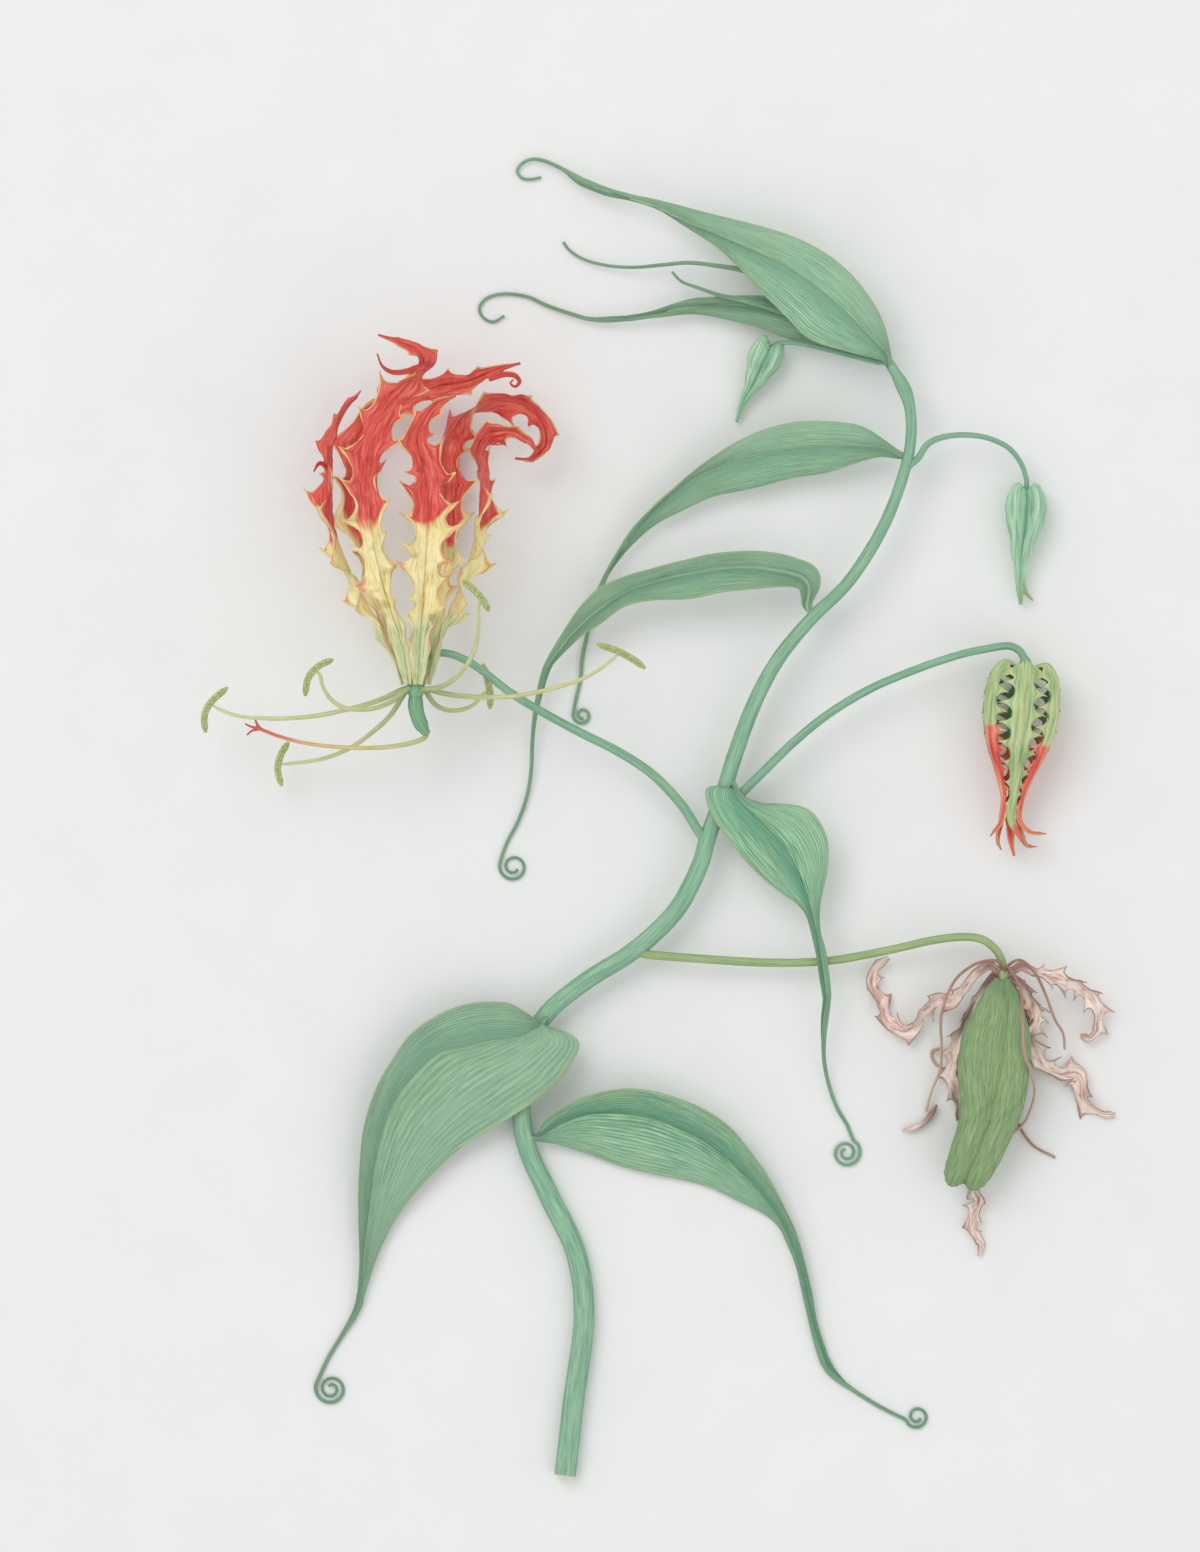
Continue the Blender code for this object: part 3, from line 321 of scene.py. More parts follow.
class Finish:
    """A procedural material in the making. colour is what has been laid so far.

    The other methods add nodes and give their output. Colours are given as they look on a screen, 0 to 255.
    """

    def __init__(self, name, **constants):
        self.material = bpy.data.materials.new(name)
        self.material.use_nodes = True
        self.nodes, self.links = self.material.node_tree.nodes, self.material.node_tree.links
        self.shader = self.nodes["Principled BSDF"]
        for socket, value in constants.items():
            self.shader.inputs[socket.replace("_", " ")].default_value = value
        skin = self.add("ShaderNodeAttribute", attribute_name="skin")
        parts = self.add("ShaderNodeSeparateXYZ", [skin.outputs["Vector"]])
        self.across, self.face, self.along = parts.outputs
        self.edge = self.math("ABSOLUTE", self.across)
        self.place = self.add("ShaderNodeTexCoord").outputs["Object"]
        self.colour = None

    def add(self, kind, inputs=(), **settings):
        node = self.nodes.new(kind)
        for key, value in settings.items():
            setattr(node, key, value)
        for socket, value in zip(node.inputs, inputs):
            if isinstance(value, bpy.types.NodeSocket):
                self.links.new(value, socket)
            elif value is not None:
                socket.default_value = value
        return node

    def math(self, operation, *values):
        return self.add("ShaderNodeMath", values, operation=operation).outputs[0]

    def times(self, value, factor):
        return self.math("MULTIPLY", value, factor)

    def blend(self, first, second, share):
        """A share of the first value and the rest of the second."""
        return self.math("ADD", self.times(first, share), self.times(second, 1 - share))

    def rise(self, value, low, high):
        """0 under low and 1 over high, with an eased rise between them. low may be over high."""
        node = self.add("ShaderNodeMapRange", [value, low, high, 0.0, 1.0], interpolation_type="SMOOTHSTEP")
        return node.outputs[0]

    def ramp(self, value, *stops):
        """A colour by value, from (position, red, green, blue) stops."""
        node = self.add("ShaderNodeValToRGB", [value])
        elements = node.color_ramp.elements
        while len(elements) < len(stops):
            elements.new(0.5)
        for element, (position, *colour) in zip(elements, stops):
            element.position, element.color = position, tint(*colour)
        return node.outputs[0]

    def noise(self, size, detail, vector=None):
        """Noise with features of a size in metres, or over a vector with features of that size in it."""
        inputs = [vector or self.place, None, 1 / size, detail, NOISE_ROUGHNESS]
        return self.add("ShaderNodeTexNoise", inputs).outputs[0]

    def wander(self, size, reach):
        """Noise with features of a size in metres, to both sides of 0, times a reach."""
        return self.times(self.math("SUBTRACT", self.noise(size, 2.0), 0.5), reach)

    def patches(self, size, low, high, detail=2.0):
        """1 in patches of a size in metres, where the noise is over high, and 0 where it is under low."""
        return self.rise(self.noise(size, detail), low, high)

    def streaks(self, width, length, detail=3.0, seed=0.0):
        """Noise drawn out along the piece: width as a share of its half width, length in metres."""
        across, face = (self.math("DIVIDE", value, width) for value in (self.across, self.face))
        along = self.math("DIVIDE", self.along, length)
        vector = self.add("ShaderNodeCombineXYZ", [across, along, self.math("ADD", face, seed)])
        return self.noise(1.0, detail, vector.outputs[0])

    def mix(self, factor, first, second):
        return self.add("ShaderNodeMixRGB", [factor, first, second]).outputs[0]

    def lay(self, mask, share, *colour):
        """Lays this share of a colour over what has been laid so far, where the mask is 1."""
        self.colour = self.mix(self.times(mask, share), self.colour, tint(*colour))

    def done(self, height, depth):
        """Joins the colour and a relief of a depth in metres to the shader, and gives the material."""
        self.links.new(self.colour, self.shader.inputs["Base Color"])
        bump = self.add("ShaderNodeBump")
        bump.inputs["Distance"].default_value = depth
        self.links.new(height, bump.inputs["Height"])
        self.links.new(bump.outputs[0], self.shader.inputs["Normal"])
        return self.material


NOISE_ROUGHNESS = 0.55
LEAF_VEINS = 15  # on each side of the rib


def leaf_finish(name, shaded, tone):
    """Blue-green with fine parallel veins and a thin straw edge, painted teal shade beside the rib on the
    shaded half and painted light on the other half.
    """
    f = Finish(name, Roughness=0.5, Specular_IOR_Level=0.35)
    vein = f.streaks(0.021, 8 * MM, 2.0)
    fine = f.streaks(0.011, 4 * MM, 2.0, 7.0)
    greens = (0.4, 76, 138, 108), (0.5, 122, 170, 136), (0.6, 172, 210, 172)
    toned = [(share, *(tone * level for level in green)) for share, *green in greens]
    f.colour = f.ramp(f.blend(vein, fine, 0.55), *toned)
    turn = f.math("ADD", f.times(f.across, math.pi * LEAF_VEINS), f.wander(9 * MM, 2.2))
    crest = f.math("ABSOLUTE", f.math("SINE", turn))
    f.lay(f.times(f.rise(crest, 0.42, 0.05), f.rise(vein, 0.34, 0.48)), 0.8, 84, 140, 110)
    f.lay(f.rise(crest, 0.7, 1.0), 0.3, 176, 212, 172)
    f.lay(f.patches(14 * MM, 0.42, 0.68, 3.0), 0.3, 150, 176, 122)
    side = f.times(f.across, shaded)
    # painted shade: a teal band beside the rib on the shaded half
    f.lay(f.times(f.rise(side, -0.02, 0.03), f.rise(side, 0.72, 0.06)), 0.66, 82, 146, 122)
    # painted light: the other half made paler
    f.lay(f.rise(side, -0.1, -0.55), 0.25, 172, 210, 176)
    f.lay(f.rise(f.face, 0.2, -0.8), 0.35, 156, 190, 160)
    f.lay(f.rise(f.edge, 0.955, 0.985), 0.7, 178, 198, 146)
    rib = f.rise(f.edge, 0.03, 0.008)
    f.lay(rib, 0.55, 168, 196, 140)
    relief = f.math("ADD", f.math("ADD", vein, f.times(fine, 0.5)), f.times(crest, 0.7))
    return f.done(f.math("SUBTRACT", relief, f.times(rib, 1.2)), 0.12 * MM)


def stem_finish(name, dark, middle, light, cut=False):
    """Green with streaks that run its length, painted light on top and painted shade down its sides, and a pale
    cut end where there is one.
    """
    f = Finish(name, Roughness=0.45, Specular_IOR_Level=0.35)
    both = f.blend(f.streaks(0.22, 9 * MM), f.streaks(0.09, 3.5 * MM, 2.0, 5.0), 0.6)
    f.colour = f.ramp(both, (0.37, *dark), (0.5, *middle), (0.63, *light))
    # painted light: paler on top
    f.lay(f.rise(f.face, 0.1, 0.95), 0.28, *light)
    # painted shade: darker down both sides
    f.lay(f.rise(f.edge, 0.7, 1.0), 0.3, *dark)
    if cut:
        f.colour = f.mix(f.rise(f.along, 0.35 * MM, 0.05 * MM), f.colour, tint(206, 214, 168))
    return f.done(both, 0.16 * MM)


def tepal_finish():
    """Green at the base, then straw yellow, then red, which starts later along the edges."""
    f = Finish("tepal", Roughness=0.42, Specular_IOR_Level=0.3)
    vein = f.streaks(0.13, 9 * MM)
    fine = f.streaks(0.05, 3 * MM, 2.0, 4.0)
    both = f.blend(vein, fine, 0.55)
    reach = f.math("ADD", f.along, f.wander(13 * MM, 26 * MM))
    green = f.ramp(both, (0.36, 152, 176, 114), (0.5, 210, 218, 166), (0.64, 240, 240, 206))
    red = f.ramp(both, (0.34, 176, 46, 44), (0.48, 218, 80, 72), (0.66, 240, 136, 118))
    f.colour = f.ramp(both, (0.34, 206, 178, 92), (0.46, 243, 224, 152), (0.62, 252, 244, 206))
    f.lay(f.patches(5 * MM, 0.55, 0.7), 0.45, 152, 152, 84)
    f.colour = f.mix(f.rise(reach, 12 * MM, 22 * MM), green, f.colour)
    f.lay(f.times(f.rise(f.edge, 0.7, 0.95), f.patches(7 * MM, 0.45, 0.62)), 0.7, 229, 110, 84)
    late = f.times(f.math("POWER", f.edge, 3.0), 13 * MM)
    redness = f.rise(f.math("SUBTRACT", reach, late), 32.5 * MM, 36.5 * MM)
    f.colour = f.mix(redness, f.colour, red)
    f.lay(f.times(f.patches(4 * MM, 0.52, 0.7), redness), 0.4, 172, 46, 46)
    f.lay(f.times(f.rise(f.edge, 0.88, 0.95), f.patches(11 * MM, 0.62, 0.5, 1.0)), 0.8, 240, 214, 142)
    # painted shade: the crease along the rib darkened towards brown
    rib = f.rise(f.edge, 0.09, 0.0)
    f.lay(rib, 0.2, 170, 120, 70)
    height = f.math("SUBTRACT", f.math("ADD", vein, f.times(fine, 0.5)), f.times(rib, 0.8))
    return f.done(height, 0.16 * MM)


def opening_finish(name, red_from):
    """A tepal of the opening bud: green with straw edges, painted shade on its inner face, and red from a
    distance along it.
    """
    f = Finish(name, Roughness=0.45, Specular_IOR_Level=0.3)
    vein = f.streaks(0.16, 8 * MM)
    f.colour = f.ramp(vein, (0.34, 128, 164, 108), (0.5, 170, 192, 138), (0.66, 208, 216, 160))
    # painted shade: the inner face, inside the bud, darkened
    f.lay(f.rise(f.face, -0.2, 0.6), 0.85, 84, 136, 100)
    red = f.ramp(vein, (0.34, 194, 68, 60), (0.5, 226, 100, 86), (0.68, 246, 164, 138))
    redness = f.rise(f.math("ADD", f.along, f.wander(6 * MM, 26 * MM)), red_from, red_from + 3 * MM)
    f.colour = f.mix(redness, f.colour, red)
    f.lay(f.rise(f.edge, 0.84, 0.95), 0.75, 214, 204, 128)
    rib = f.rise(f.edge, 0.12, 0.0)
    f.lay(rib, 0.4, 206, 202, 136)
    return f.done(f.math("ADD", vein, rib), 0.14 * MM)


def strand_finish(name, length, *stops):
    """A filament, style or thread: its colour changes along a length in metres, with fine streaks."""
    f = Finish(name, Roughness=0.5, Specular_IOR_Level=0.3)
    f.colour = f.ramp(f.math("DIVIDE", f.along, length), *stops)
    streak = f.streaks(0.3, 4 * MM)
    f.lay(f.rise(streak, 0.5, 0.72), 0.4, 240, 236, 200)
    f.lay(f.rise(streak, 0.5, 0.3), 0.4, 120, 130, 76)
    return f.done(streak, 0.06 * MM)


def anther_finish():
    """Olive, grained with pollen, with a yellow line down each seam between its lobes."""
    f = Finish("anther", Roughness=0.75, Specular_IOR_Level=0.2)
    grain = f.noise(0.35 * MM, 2.0)
    f.colour = f.ramp(grain, (0.34, 138, 156, 96), (0.52, 176, 188, 128), (0.7, 214, 214, 158))
    f.lay(f.rise(f.edge, 0.82, 0.97), 0.85, 226, 214, 136)
    f.lay(f.rise(f.edge, 0.2, 0.0), 0.55, 112, 134, 80)
    return f.done(grain, 0.12 * MM)


def bud_finish():
    """A closed bud: blue-green and veined, with painted shade in and beside the crease down its middle, and
    yellow towards its tip.
    """
    f = Finish("bud", Roughness=0.45, Specular_IOR_Level=0.35)
    vein = f.streaks(0.16, 7 * MM)
    f.colour = f.ramp(vein, (0.34, 118, 170, 138), (0.5, 162, 204, 170), (0.66, 194, 226, 190))
    # painted shade: dark in the crease, and fading out beside it
    f.lay(f.rise(f.edge, 0.1, 0.02), 0.85, 78, 128, 98)
    f.lay(f.rise(f.edge, 0.62, 0.3), 0.3, 96, 148, 116)
    f.lay(f.rise(f.along, 17 * MM, 27 * MM), 0.5, 176, 186, 112)
    return f.done(vein, 0.14 * MM)


def pod_finish():
    """Olive-tinged green with dark strokes along the carpels, and painted shade on its flanks and underside."""
    f = Finish("pod", Roughness=0.5, Specular_IOR_Level=0.3)
    both = f.blend(f.streaks(0.06, 4.5 * MM), f.streaks(0.024, 2.2 * MM, 2.0, 3.0), 0.6)
    f.colour = f.ramp(both, (0.36, 98, 130, 88), (0.5, 136, 163, 114), (0.64, 168, 188, 138))
    f.lay(f.patches(9 * MM, 0.45, 0.7, 3.0), 0.4, 118, 154, 116)
    # painted shade: darker on the flanks and underside
    f.lay(f.rise(f.face, 0.65, -0.1), 0.5, 88, 122, 80)
    return f.done(both, 0.16 * MM)


def withered_finish(name):
    """Dry pinkish brown, with dark edges, veins and a darker root."""
    f = Finish(name, Roughness=0.85, Specular_IOR_Level=0.15, Sheen_Weight=0.2, Sheen_Roughness=0.6)
    vein = f.streaks(0.22, 4 * MM)
    f.colour = f.ramp(vein, (0.34, 192, 150, 136), (0.5, 238, 216, 204), (0.66, 250, 240, 232))
    f.lay(f.patches(3.5 * MM, 0.5, 0.7, 3.0), 0.55, 182, 136, 122)
    f.lay(f.rise(f.edge, 0.8, 0.98), 0.6, 138, 88, 80)
    f.lay(f.rise(f.along, 9 * MM, 2 * MM), 0.75, 140, 92, 84)
    return f.done(vein, 0.2 * MM)


STEM_ROUTE = [
    (565, 1478, 2.1), (574, 1400, 2.1), (584, 1320, 2.1), (576, 1255, 2.0), (548, 1195, 2.2),
    (526, 1145, 2.8), (521, 1095, 3.6), (529, 1050, 4.4), (546, 1015, 5.0), (585, 982, 5.5), (635, 950, 6.0),
    (675, 912, 6.4), (698, 870, 6.8), (708, 838, 7.0), (722, 797, 7.4), (736, 752, 7.8), (755, 702, 8.2),
    (779, 658, 8.6), (812, 618, 9.0), (850, 580, 9.2), (884, 525, 9.4), (904, 472, 9.5), (911, 435, 9.4),
    (908, 400, 9.2), (894, 371, 9.0), (882, 355, 8.8), (868, 343, 8.7),
]
STEM_RADII = [
    (0, 2.35), (0.2, 2.25), (0.35, 1.95), (0.5, 2.0), (0.62, 1.75), (0.8, 1.35), (0.935, 1.2), (0.955, 1.55),
    (0.972, 1.1), (1, 0.7),
]


def stem():
    green = stem_finish("stem", (92, 146, 118), (126, 172, 142), (158, 198, 164), cut=True)
    shell = tube_rings(STEM_ROUTE, STEM_RADII, 0.6 * MM, 32, ribs=9, rib_depth=0.012, grain=0.05 * MM)
    piece("stem", [shell], green)


COIL_POINTS = 12  # in each turn of a tendril


def coil(x, y, height, radius, start, turns, end_radius):
    """The curled end of a tendril, round a pixel. It winds to the left, seen from above, for turns over 0."""
    points = []
    for share in even(math.ceil(abs(turns) * COIL_POINTS)):
        angle = math.radians(start) + 2 * math.pi * turns * share
        reach = radius + (end_radius - radius) * share
        points.append((x + reach * math.cos(angle), y - reach * math.sin(angle), height))
    return points


# Each leaf has a root inside the stem. shaded is -1 where its right half has the painted shade, and tone is
# the brightness of its green. A leaf that is still rolled up is narrowed to this share of its solid's width.
LEAVES = {
    "leaf_lower_left": dict(
        root=(547, 1017, 6.4), tone=0.9,
        left=[(538, 1020, 8.1), (513, 1005, 8.6), (496, 1002, 8.8), (468, 1004, 9.2), (440, 1014, 9.4),
              (412, 1033, 9.2), (393, 1059, 8.8), (376, 1089, 8.0), (363, 1131, 6.8), (359, 1176, 5.4),
              (358, 1218, 4.2), (359, 1261, 3.0), (357, 1294, 2.0)],
        rib=[(541, 1024, 8.0), (516, 1037, 8.0), (490, 1040, 8.0), (466, 1046, 7.9), (440, 1053, 7.7),
             (412, 1078, 7.2), (391, 1110, 6.5), (378, 1150, 5.6), (370, 1200, 4.4), (364, 1250, 3.0),
             (360, 1296, 1.8)],
        right=[(545, 1026, 8.0), (569, 1033, 7.9), (579, 1046, 7.6), (566, 1070, 7.4), (547, 1092, 7.2),
               (519, 1112, 6.8), (482, 1134, 5.6), (454, 1154, 4.6), (432, 1174, 3.8), (412, 1196, 3.2),
               (395, 1221, 2.6), (381, 1247, 2.2), (373, 1266, 2.0), (364, 1296, 1.6)],
        tail=[(354, 1316, 1.2), (342, 1336, 0.8), (328, 1359, 0.6), *coil(330, 1391, 0.6, 16, 140, 2.0, 3.2)],
    ),
    "leaf_lower_right": dict(
        root=(525, 1137, 3.6),
        left=[(537, 1134, 4.4), (547, 1119, 5.8), (573, 1101, 7.4), (603, 1092, 8.2), (632, 1089, 8.4),
              (664, 1094, 8.0), (699, 1107, 7.2), (729, 1127, 6.4), (752, 1154, 5.6), (770, 1180, 4.8),
              (784, 1207, 4.0), (796, 1233, 3.4), (805, 1262, 2.8), (812, 1292, 2.2), (818, 1324, 1.7),
              (829, 1360, 1.3)],
        rib=[(537, 1138, 3.9), (560, 1124, 4.6), (588, 1114, 5.0), (617, 1113, 5.2), (647, 1117, 5.2),
             (676, 1127, 4.8), (705, 1142, 4.4), (736, 1166, 3.8), (764, 1196, 3.2), (786, 1230, 2.6),
             (803, 1276, 2.0), (813, 1322, 1.5), (826, 1363, 1.1)],
        right=[(538, 1142, 3.5), (559, 1145, 2.6), (588, 1155, 1.9), (617, 1166, 1.5), (647, 1173, 1.3),
               (682, 1181, 1.2), (711, 1189, 1.1), (740, 1202, 1.1), (764, 1215, 1.1), (779, 1229, 1.1),
               (789, 1248, 1.1), (799, 1271, 1.1), (806, 1309, 1.1), (814, 1342, 1.0), (822, 1367, 0.9)],
        tail=[(838, 1380, 0.8), (855, 1393, 0.7), (877, 1407, 0.6), (894, 1416, 0.6),
              *coil(918, 1419, 0.6, 12, 195, 1.4, 4)],
    ),
    "leaf_middle": dict(
        root=(732, 781, 8.0), shaded=-1, tone=1.08,
        left=[(744, 796, 10.4), (761, 803, 11.2), (778, 803, 11.6), (798, 806, 11.6), (812, 813, 11.2),
              (823, 829, 10.6), (828, 845, 10.2), (827, 868, 9.6), (823, 890, 9.2), (820, 907, 9.0),
              (820, 930, 8.8), (826, 952, 8.6), (829, 974, 8.2), (831, 993, 7.6)],
        rib=[(738, 798, 10.1), (751, 812, 10.8), (768, 828, 10.8), (783, 845, 10.4), (795, 865, 9.9),
             (804, 887, 9.3), (811, 909, 9.0), (816, 929, 8.8), (820, 951, 8.6), (824, 974, 8.2),
             (827, 995, 7.6)],
        right=[(733, 795, 9.9), (719, 787, 9.8), (706, 789, 9.8), (708, 806, 9.9), (716, 823, 10.2),
               (729, 838, 10.5), (744, 859, 10.5), (764, 879, 10.1), (785, 895, 9.5), (798, 905, 9.1),
               (807, 918, 8.9), (814, 944, 8.7), (819, 974, 8.2), (823, 997, 7.6)],
        tail=[(825, 1019, 6.4), (824, 1042, 4.8), (825, 1064, 3.4), (830, 1087, 2.0), (838, 1109, 1.0),
              (848, 1126, 0.6), *coil(847, 1154, 0.6, 15, 62, -1.9, 3.2)],
        leads=(0.95, 0.75),
    ),
    "leaf_folded": dict(
        root=(815, 618, 9.2), shaded=-1,
        left=[(812, 606, 10.2), (814, 598, 10.9), (819, 587, 11.5), (819, 575, 12.0), (813, 566, 12.2),
              (801, 560, 12.4), (778, 554, 12.4), (743, 552, 12.0), (711, 554, 11.6), (681, 562, 11.2),
              (652, 569, 10.8), (628, 575, 10.4), (602, 587, 9.8), (587, 600, 9.2), (573, 616, 8.4),
              (558, 640, 7.4), (547, 659, 6.6)],
        rib=[(807, 608, 10.0), (808, 597, 10.6), (808, 586, 11.2), (800, 577, 11.5), (781, 572, 11.5),
             (752, 568, 11.0), (719, 569, 10.4), (687, 574, 9.9), (655, 582, 9.4), (627, 592, 8.8),
             (600, 609, 8.2), (577, 629, 7.5), (562, 646, 6.9), (550, 662, 6.3)],
        right=[(803, 607, 10.0), (801, 597, 10.6), (795, 588, 11.4), (763, 588, 12.2), (728, 592, 12.2),
               (693, 598, 11.8), (652, 601, 11.2), (622, 607, 10.6), (599, 625, 9.2), (581, 637, 8.2),
               (566, 650, 7.2), (553, 664, 6.4)],
        tail=[(544, 676, 5.4), (537, 704, 4.2), (534, 722, 3.4), (532, 745, 2.6), (531, 769, 1.8),
              (527, 795, 1.2), (518, 821, 0.8), (507, 842, 0.6), *coil(513, 867, 0.6, 14.5, 150, 1.5, 5)],
        arches=(-0.1, -0.1),
    ),
    "leaf_upper": dict(
        root=(909, 455, 9.5), shaded=-1, tone=1.09,
        left=[(899, 451, 9.9), (866, 429, 10.4), (839, 423, 10.6), (809, 422, 10.6), (787, 424, 10.4),
              (762, 431, 10.0), (737, 442, 9.4), (710, 459, 8.6), (675, 487, 7.4), (652, 507, 6.6),
              (631, 531, 5.4), (614, 557, 4.2), (602, 578, 3.2), (595, 594, 2.4)],
        rib=[(900, 455, 9.6), (884, 448, 9.6), (854, 445, 9.6), (819, 445, 9.4), (787, 448, 9.0),
             (755, 454, 8.4), (725, 463, 7.6), (695, 476, 6.8), (664, 498, 5.8), (638, 525, 4.8),
             (618, 553, 3.6), (604, 578, 2.7), (598, 596, 2.1)],
        right=[(899, 459, 9.3), (879, 457, 8.6), (854, 463, 7.6), (824, 473, 6.6), (787, 479, 5.8),
               (742, 490, 5.0), (705, 499, 4.4), (664, 519, 3.8), (640, 537, 3.2), (622, 554, 2.6),
               (608, 575, 2.2), (601, 596, 1.9)],
        tail=[(591, 618, 1.4), (586, 640, 1.0), (582, 660, 0.8), (580, 681, 0.6), (576, 698, 0.6),
              *coil(582, 715, 0.6, 9.5, 155, 1.4, 3)],
    ),
    "leaf_top": dict(
        root=(890, 366, 9.6), shaded=-1, tone=1.09,
        left=[(890, 352, 11.0), (883, 326, 12.6), (872, 304, 13.4), (852, 278, 13.8), (826, 256, 13.6),
              (797, 240, 13.0), (768, 230, 12.2), (728, 219, 10.8), (694, 210, 9.4), (659, 200, 7.6),
              (631, 194, 6.2), (608, 187, 5.0), (584, 177, 4.0)],
        rib=[(887, 357, 10.9), (866, 335, 12.0), (837, 306, 12.6), (809, 283, 12.4), (777, 263, 11.8),
             (745, 248, 10.8), (717, 235, 9.8), (688, 222, 8.6), (659, 207, 7.0), (631, 197, 5.7),
             (608, 190, 4.7), (583, 181, 3.8)],
        right=[(881, 361, 10.9), (852, 354, 12.2), (811, 341, 13.0), (786, 318, 12.6), (760, 292, 11.8),
               (737, 266, 10.8), (717, 248, 9.8), (694, 232, 8.6), (671, 216, 7.2), (654, 207, 6.2),
               (631, 200, 5.3), (605, 194, 4.5), (582, 185, 3.7)],
        tail=[(565, 169, 2.8), (547, 160, 2.0), (533, 157, 1.4), (522, 161, 1.0), (517, 169, 0.8),
              (522, 176, 0.7), (532, 177, 0.6), (541, 175, 0.6)],
    ),
    "leaf_behind": dict(
        root=(884, 361, 8.0),
        left=[(871, 351, 6.6), (834, 325, 6.4), (800, 305, 6.0), (768, 296, 5.8), (745, 295, 5.6),
              (720, 296, 5.4), (694, 298, 5.0), (671, 304, 4.4), (648, 311, 3.8), (625, 315, 3.2)],
        rib=[(870, 355, 6.4), (838, 337, 5.7), (800, 320, 5.2), (766, 311, 4.8), (728, 306, 4.5),
             (700, 305, 4.2), (671, 309, 3.8), (648, 313, 3.4), (627, 317, 3.0)],
        right=[(869, 359, 6.3), (842, 349, 5.4), (817, 344, 4.9), (791, 338, 4.6), (766, 329, 4.4),
               (743, 322, 4.2), (717, 316, 4.0), (688, 313, 3.8), (659, 316, 3.4), (629, 320, 2.9)],
        tail=[(593, 318, 2.2), (570, 312, 1.6), (547, 304, 1.2), (527, 295, 0.9), (504, 292, 0.7),
              (487, 296, 0.6), (479, 306, 0.6), (483, 316, 0.6), (493, 320, 0.6), (504, 314, 0.6)],
    ),
    "leaf_young_long": dict(
        root=(871, 347, 8.8), narrowed=0.45,
        left=[(866, 339, 8.8), (836, 316, 9.4), (806, 297, 9.6), (775, 280, 9.2), (750, 267, 8.2)],
        rib=[(866, 341, 8.8), (836, 322, 9.2), (806, 306, 9.4), (775, 289, 9.0), (748, 272, 8.0)],
        right=[(865, 343, 8.8), (836, 328, 9.0), (806, 315, 9.2), (775, 298, 8.8), (746, 277, 7.8)],
        tail=[(714, 265, 6.4), (688, 262, 5.2), (662, 264, 4.2), (634, 266, 3.0), (608, 264, 2.0),
              (585, 258, 1.2), (570, 249, 0.8), (563, 240, 0.6)],
    ),
    "leaf_young_short": dict(
        root=(872, 348, 8.2), narrowed=0.7,
        left=[(865, 344, 7.8), (840, 331, 7.7), (805, 314, 7.6), (768, 301, 7.4), (740, 296, 7.0)],
        rib=[(865, 347, 7.8), (840, 336, 7.7), (805, 320, 7.5), (768, 306, 7.3), (739, 299, 6.9)],
        right=[(864, 350, 7.8), (840, 341, 7.7), (805, 326, 7.6), (768, 311, 7.4), (738, 302, 7.0)],
        tail=[(720, 295, 6.6), (700, 288, 6.0), (682, 281, 5.4), (672, 271, 5.0)],
    ),
}

LEAF_THICKNESS = 0.8 * MM
LEAF_STATIONS = 130
LEAF_STEPS = 10  # between two points of a leaf's lines
LEAF_COLUMNS = np.array([math.copysign(abs(t) ** 1.3, t) for t in (1 - step / 12 for step in range(25))])
ROOT_WIDTH = 0.4  # of a blade inside its stem, as a share of its width where it leaves it
LEAF_WAVES, WAVE_HEIGHT = 4.3, 0.22 * MM  # along each edge
LEAF_CREASE_DEPTH, LEAF_CREASE_WIDTH = 0.16 * MM, 0.07
TENDRIL_HALF = 0.42 * MM
TENDRIL_STEP = 0.4 * MM
TENDRIL_SIDE = 0.35  # how far from the rib, on the half with painted light, a tendril takes its colour


def arched(edges, ribs, arches):
    """The middle surface of a leaf between its edges and rib, arched by shares of its halves' widths."""
    grid = []
    for edge_left, edge_right, middle, travel in zip(*edges, ribs, tangents(ribs)):
        normal = travel.cross(edge_left - edge_right).normalized()
        row = []
        for v in LEAF_COLUMNS:
            edge, arch = (edge_left, arches[0]) if v > 0 else (edge_right, arches[1])
            bow = 4 * abs(v) * (1 - abs(v)) * arch * (edge - middle).length
            row.append(middle.lerp(edge, abs(v)) + normal * (math.copysign(1, normal.z) * bow))
        grid.append(row)
    return grid


def tendril(line, shares, blade_end):
    """Rows of points along a tendril, which starts as wide as the blade's end and turns level."""
    strand = spaced(line, shares)
    spare = blade_end.length / 2 - TENDRIL_HALF
    facing = blade_end
    rows = []
    for share, point, travel in zip(shares, strand, tangents(strand)):
        level = UP.cross(travel).normalized()
        level *= math.copysign(1, level.dot(facing))
        facing = level
        turned = blade_end.normalized().lerp(level, smooth_step(6 * share)).normalized()
        half = TENDRIL_HALF * (1 - 0.5 * share) + spare * (1 - smooth_step(4 * share))
        rows.append([point + turned * (half * v) for v in LEAF_COLUMNS])
    return rows


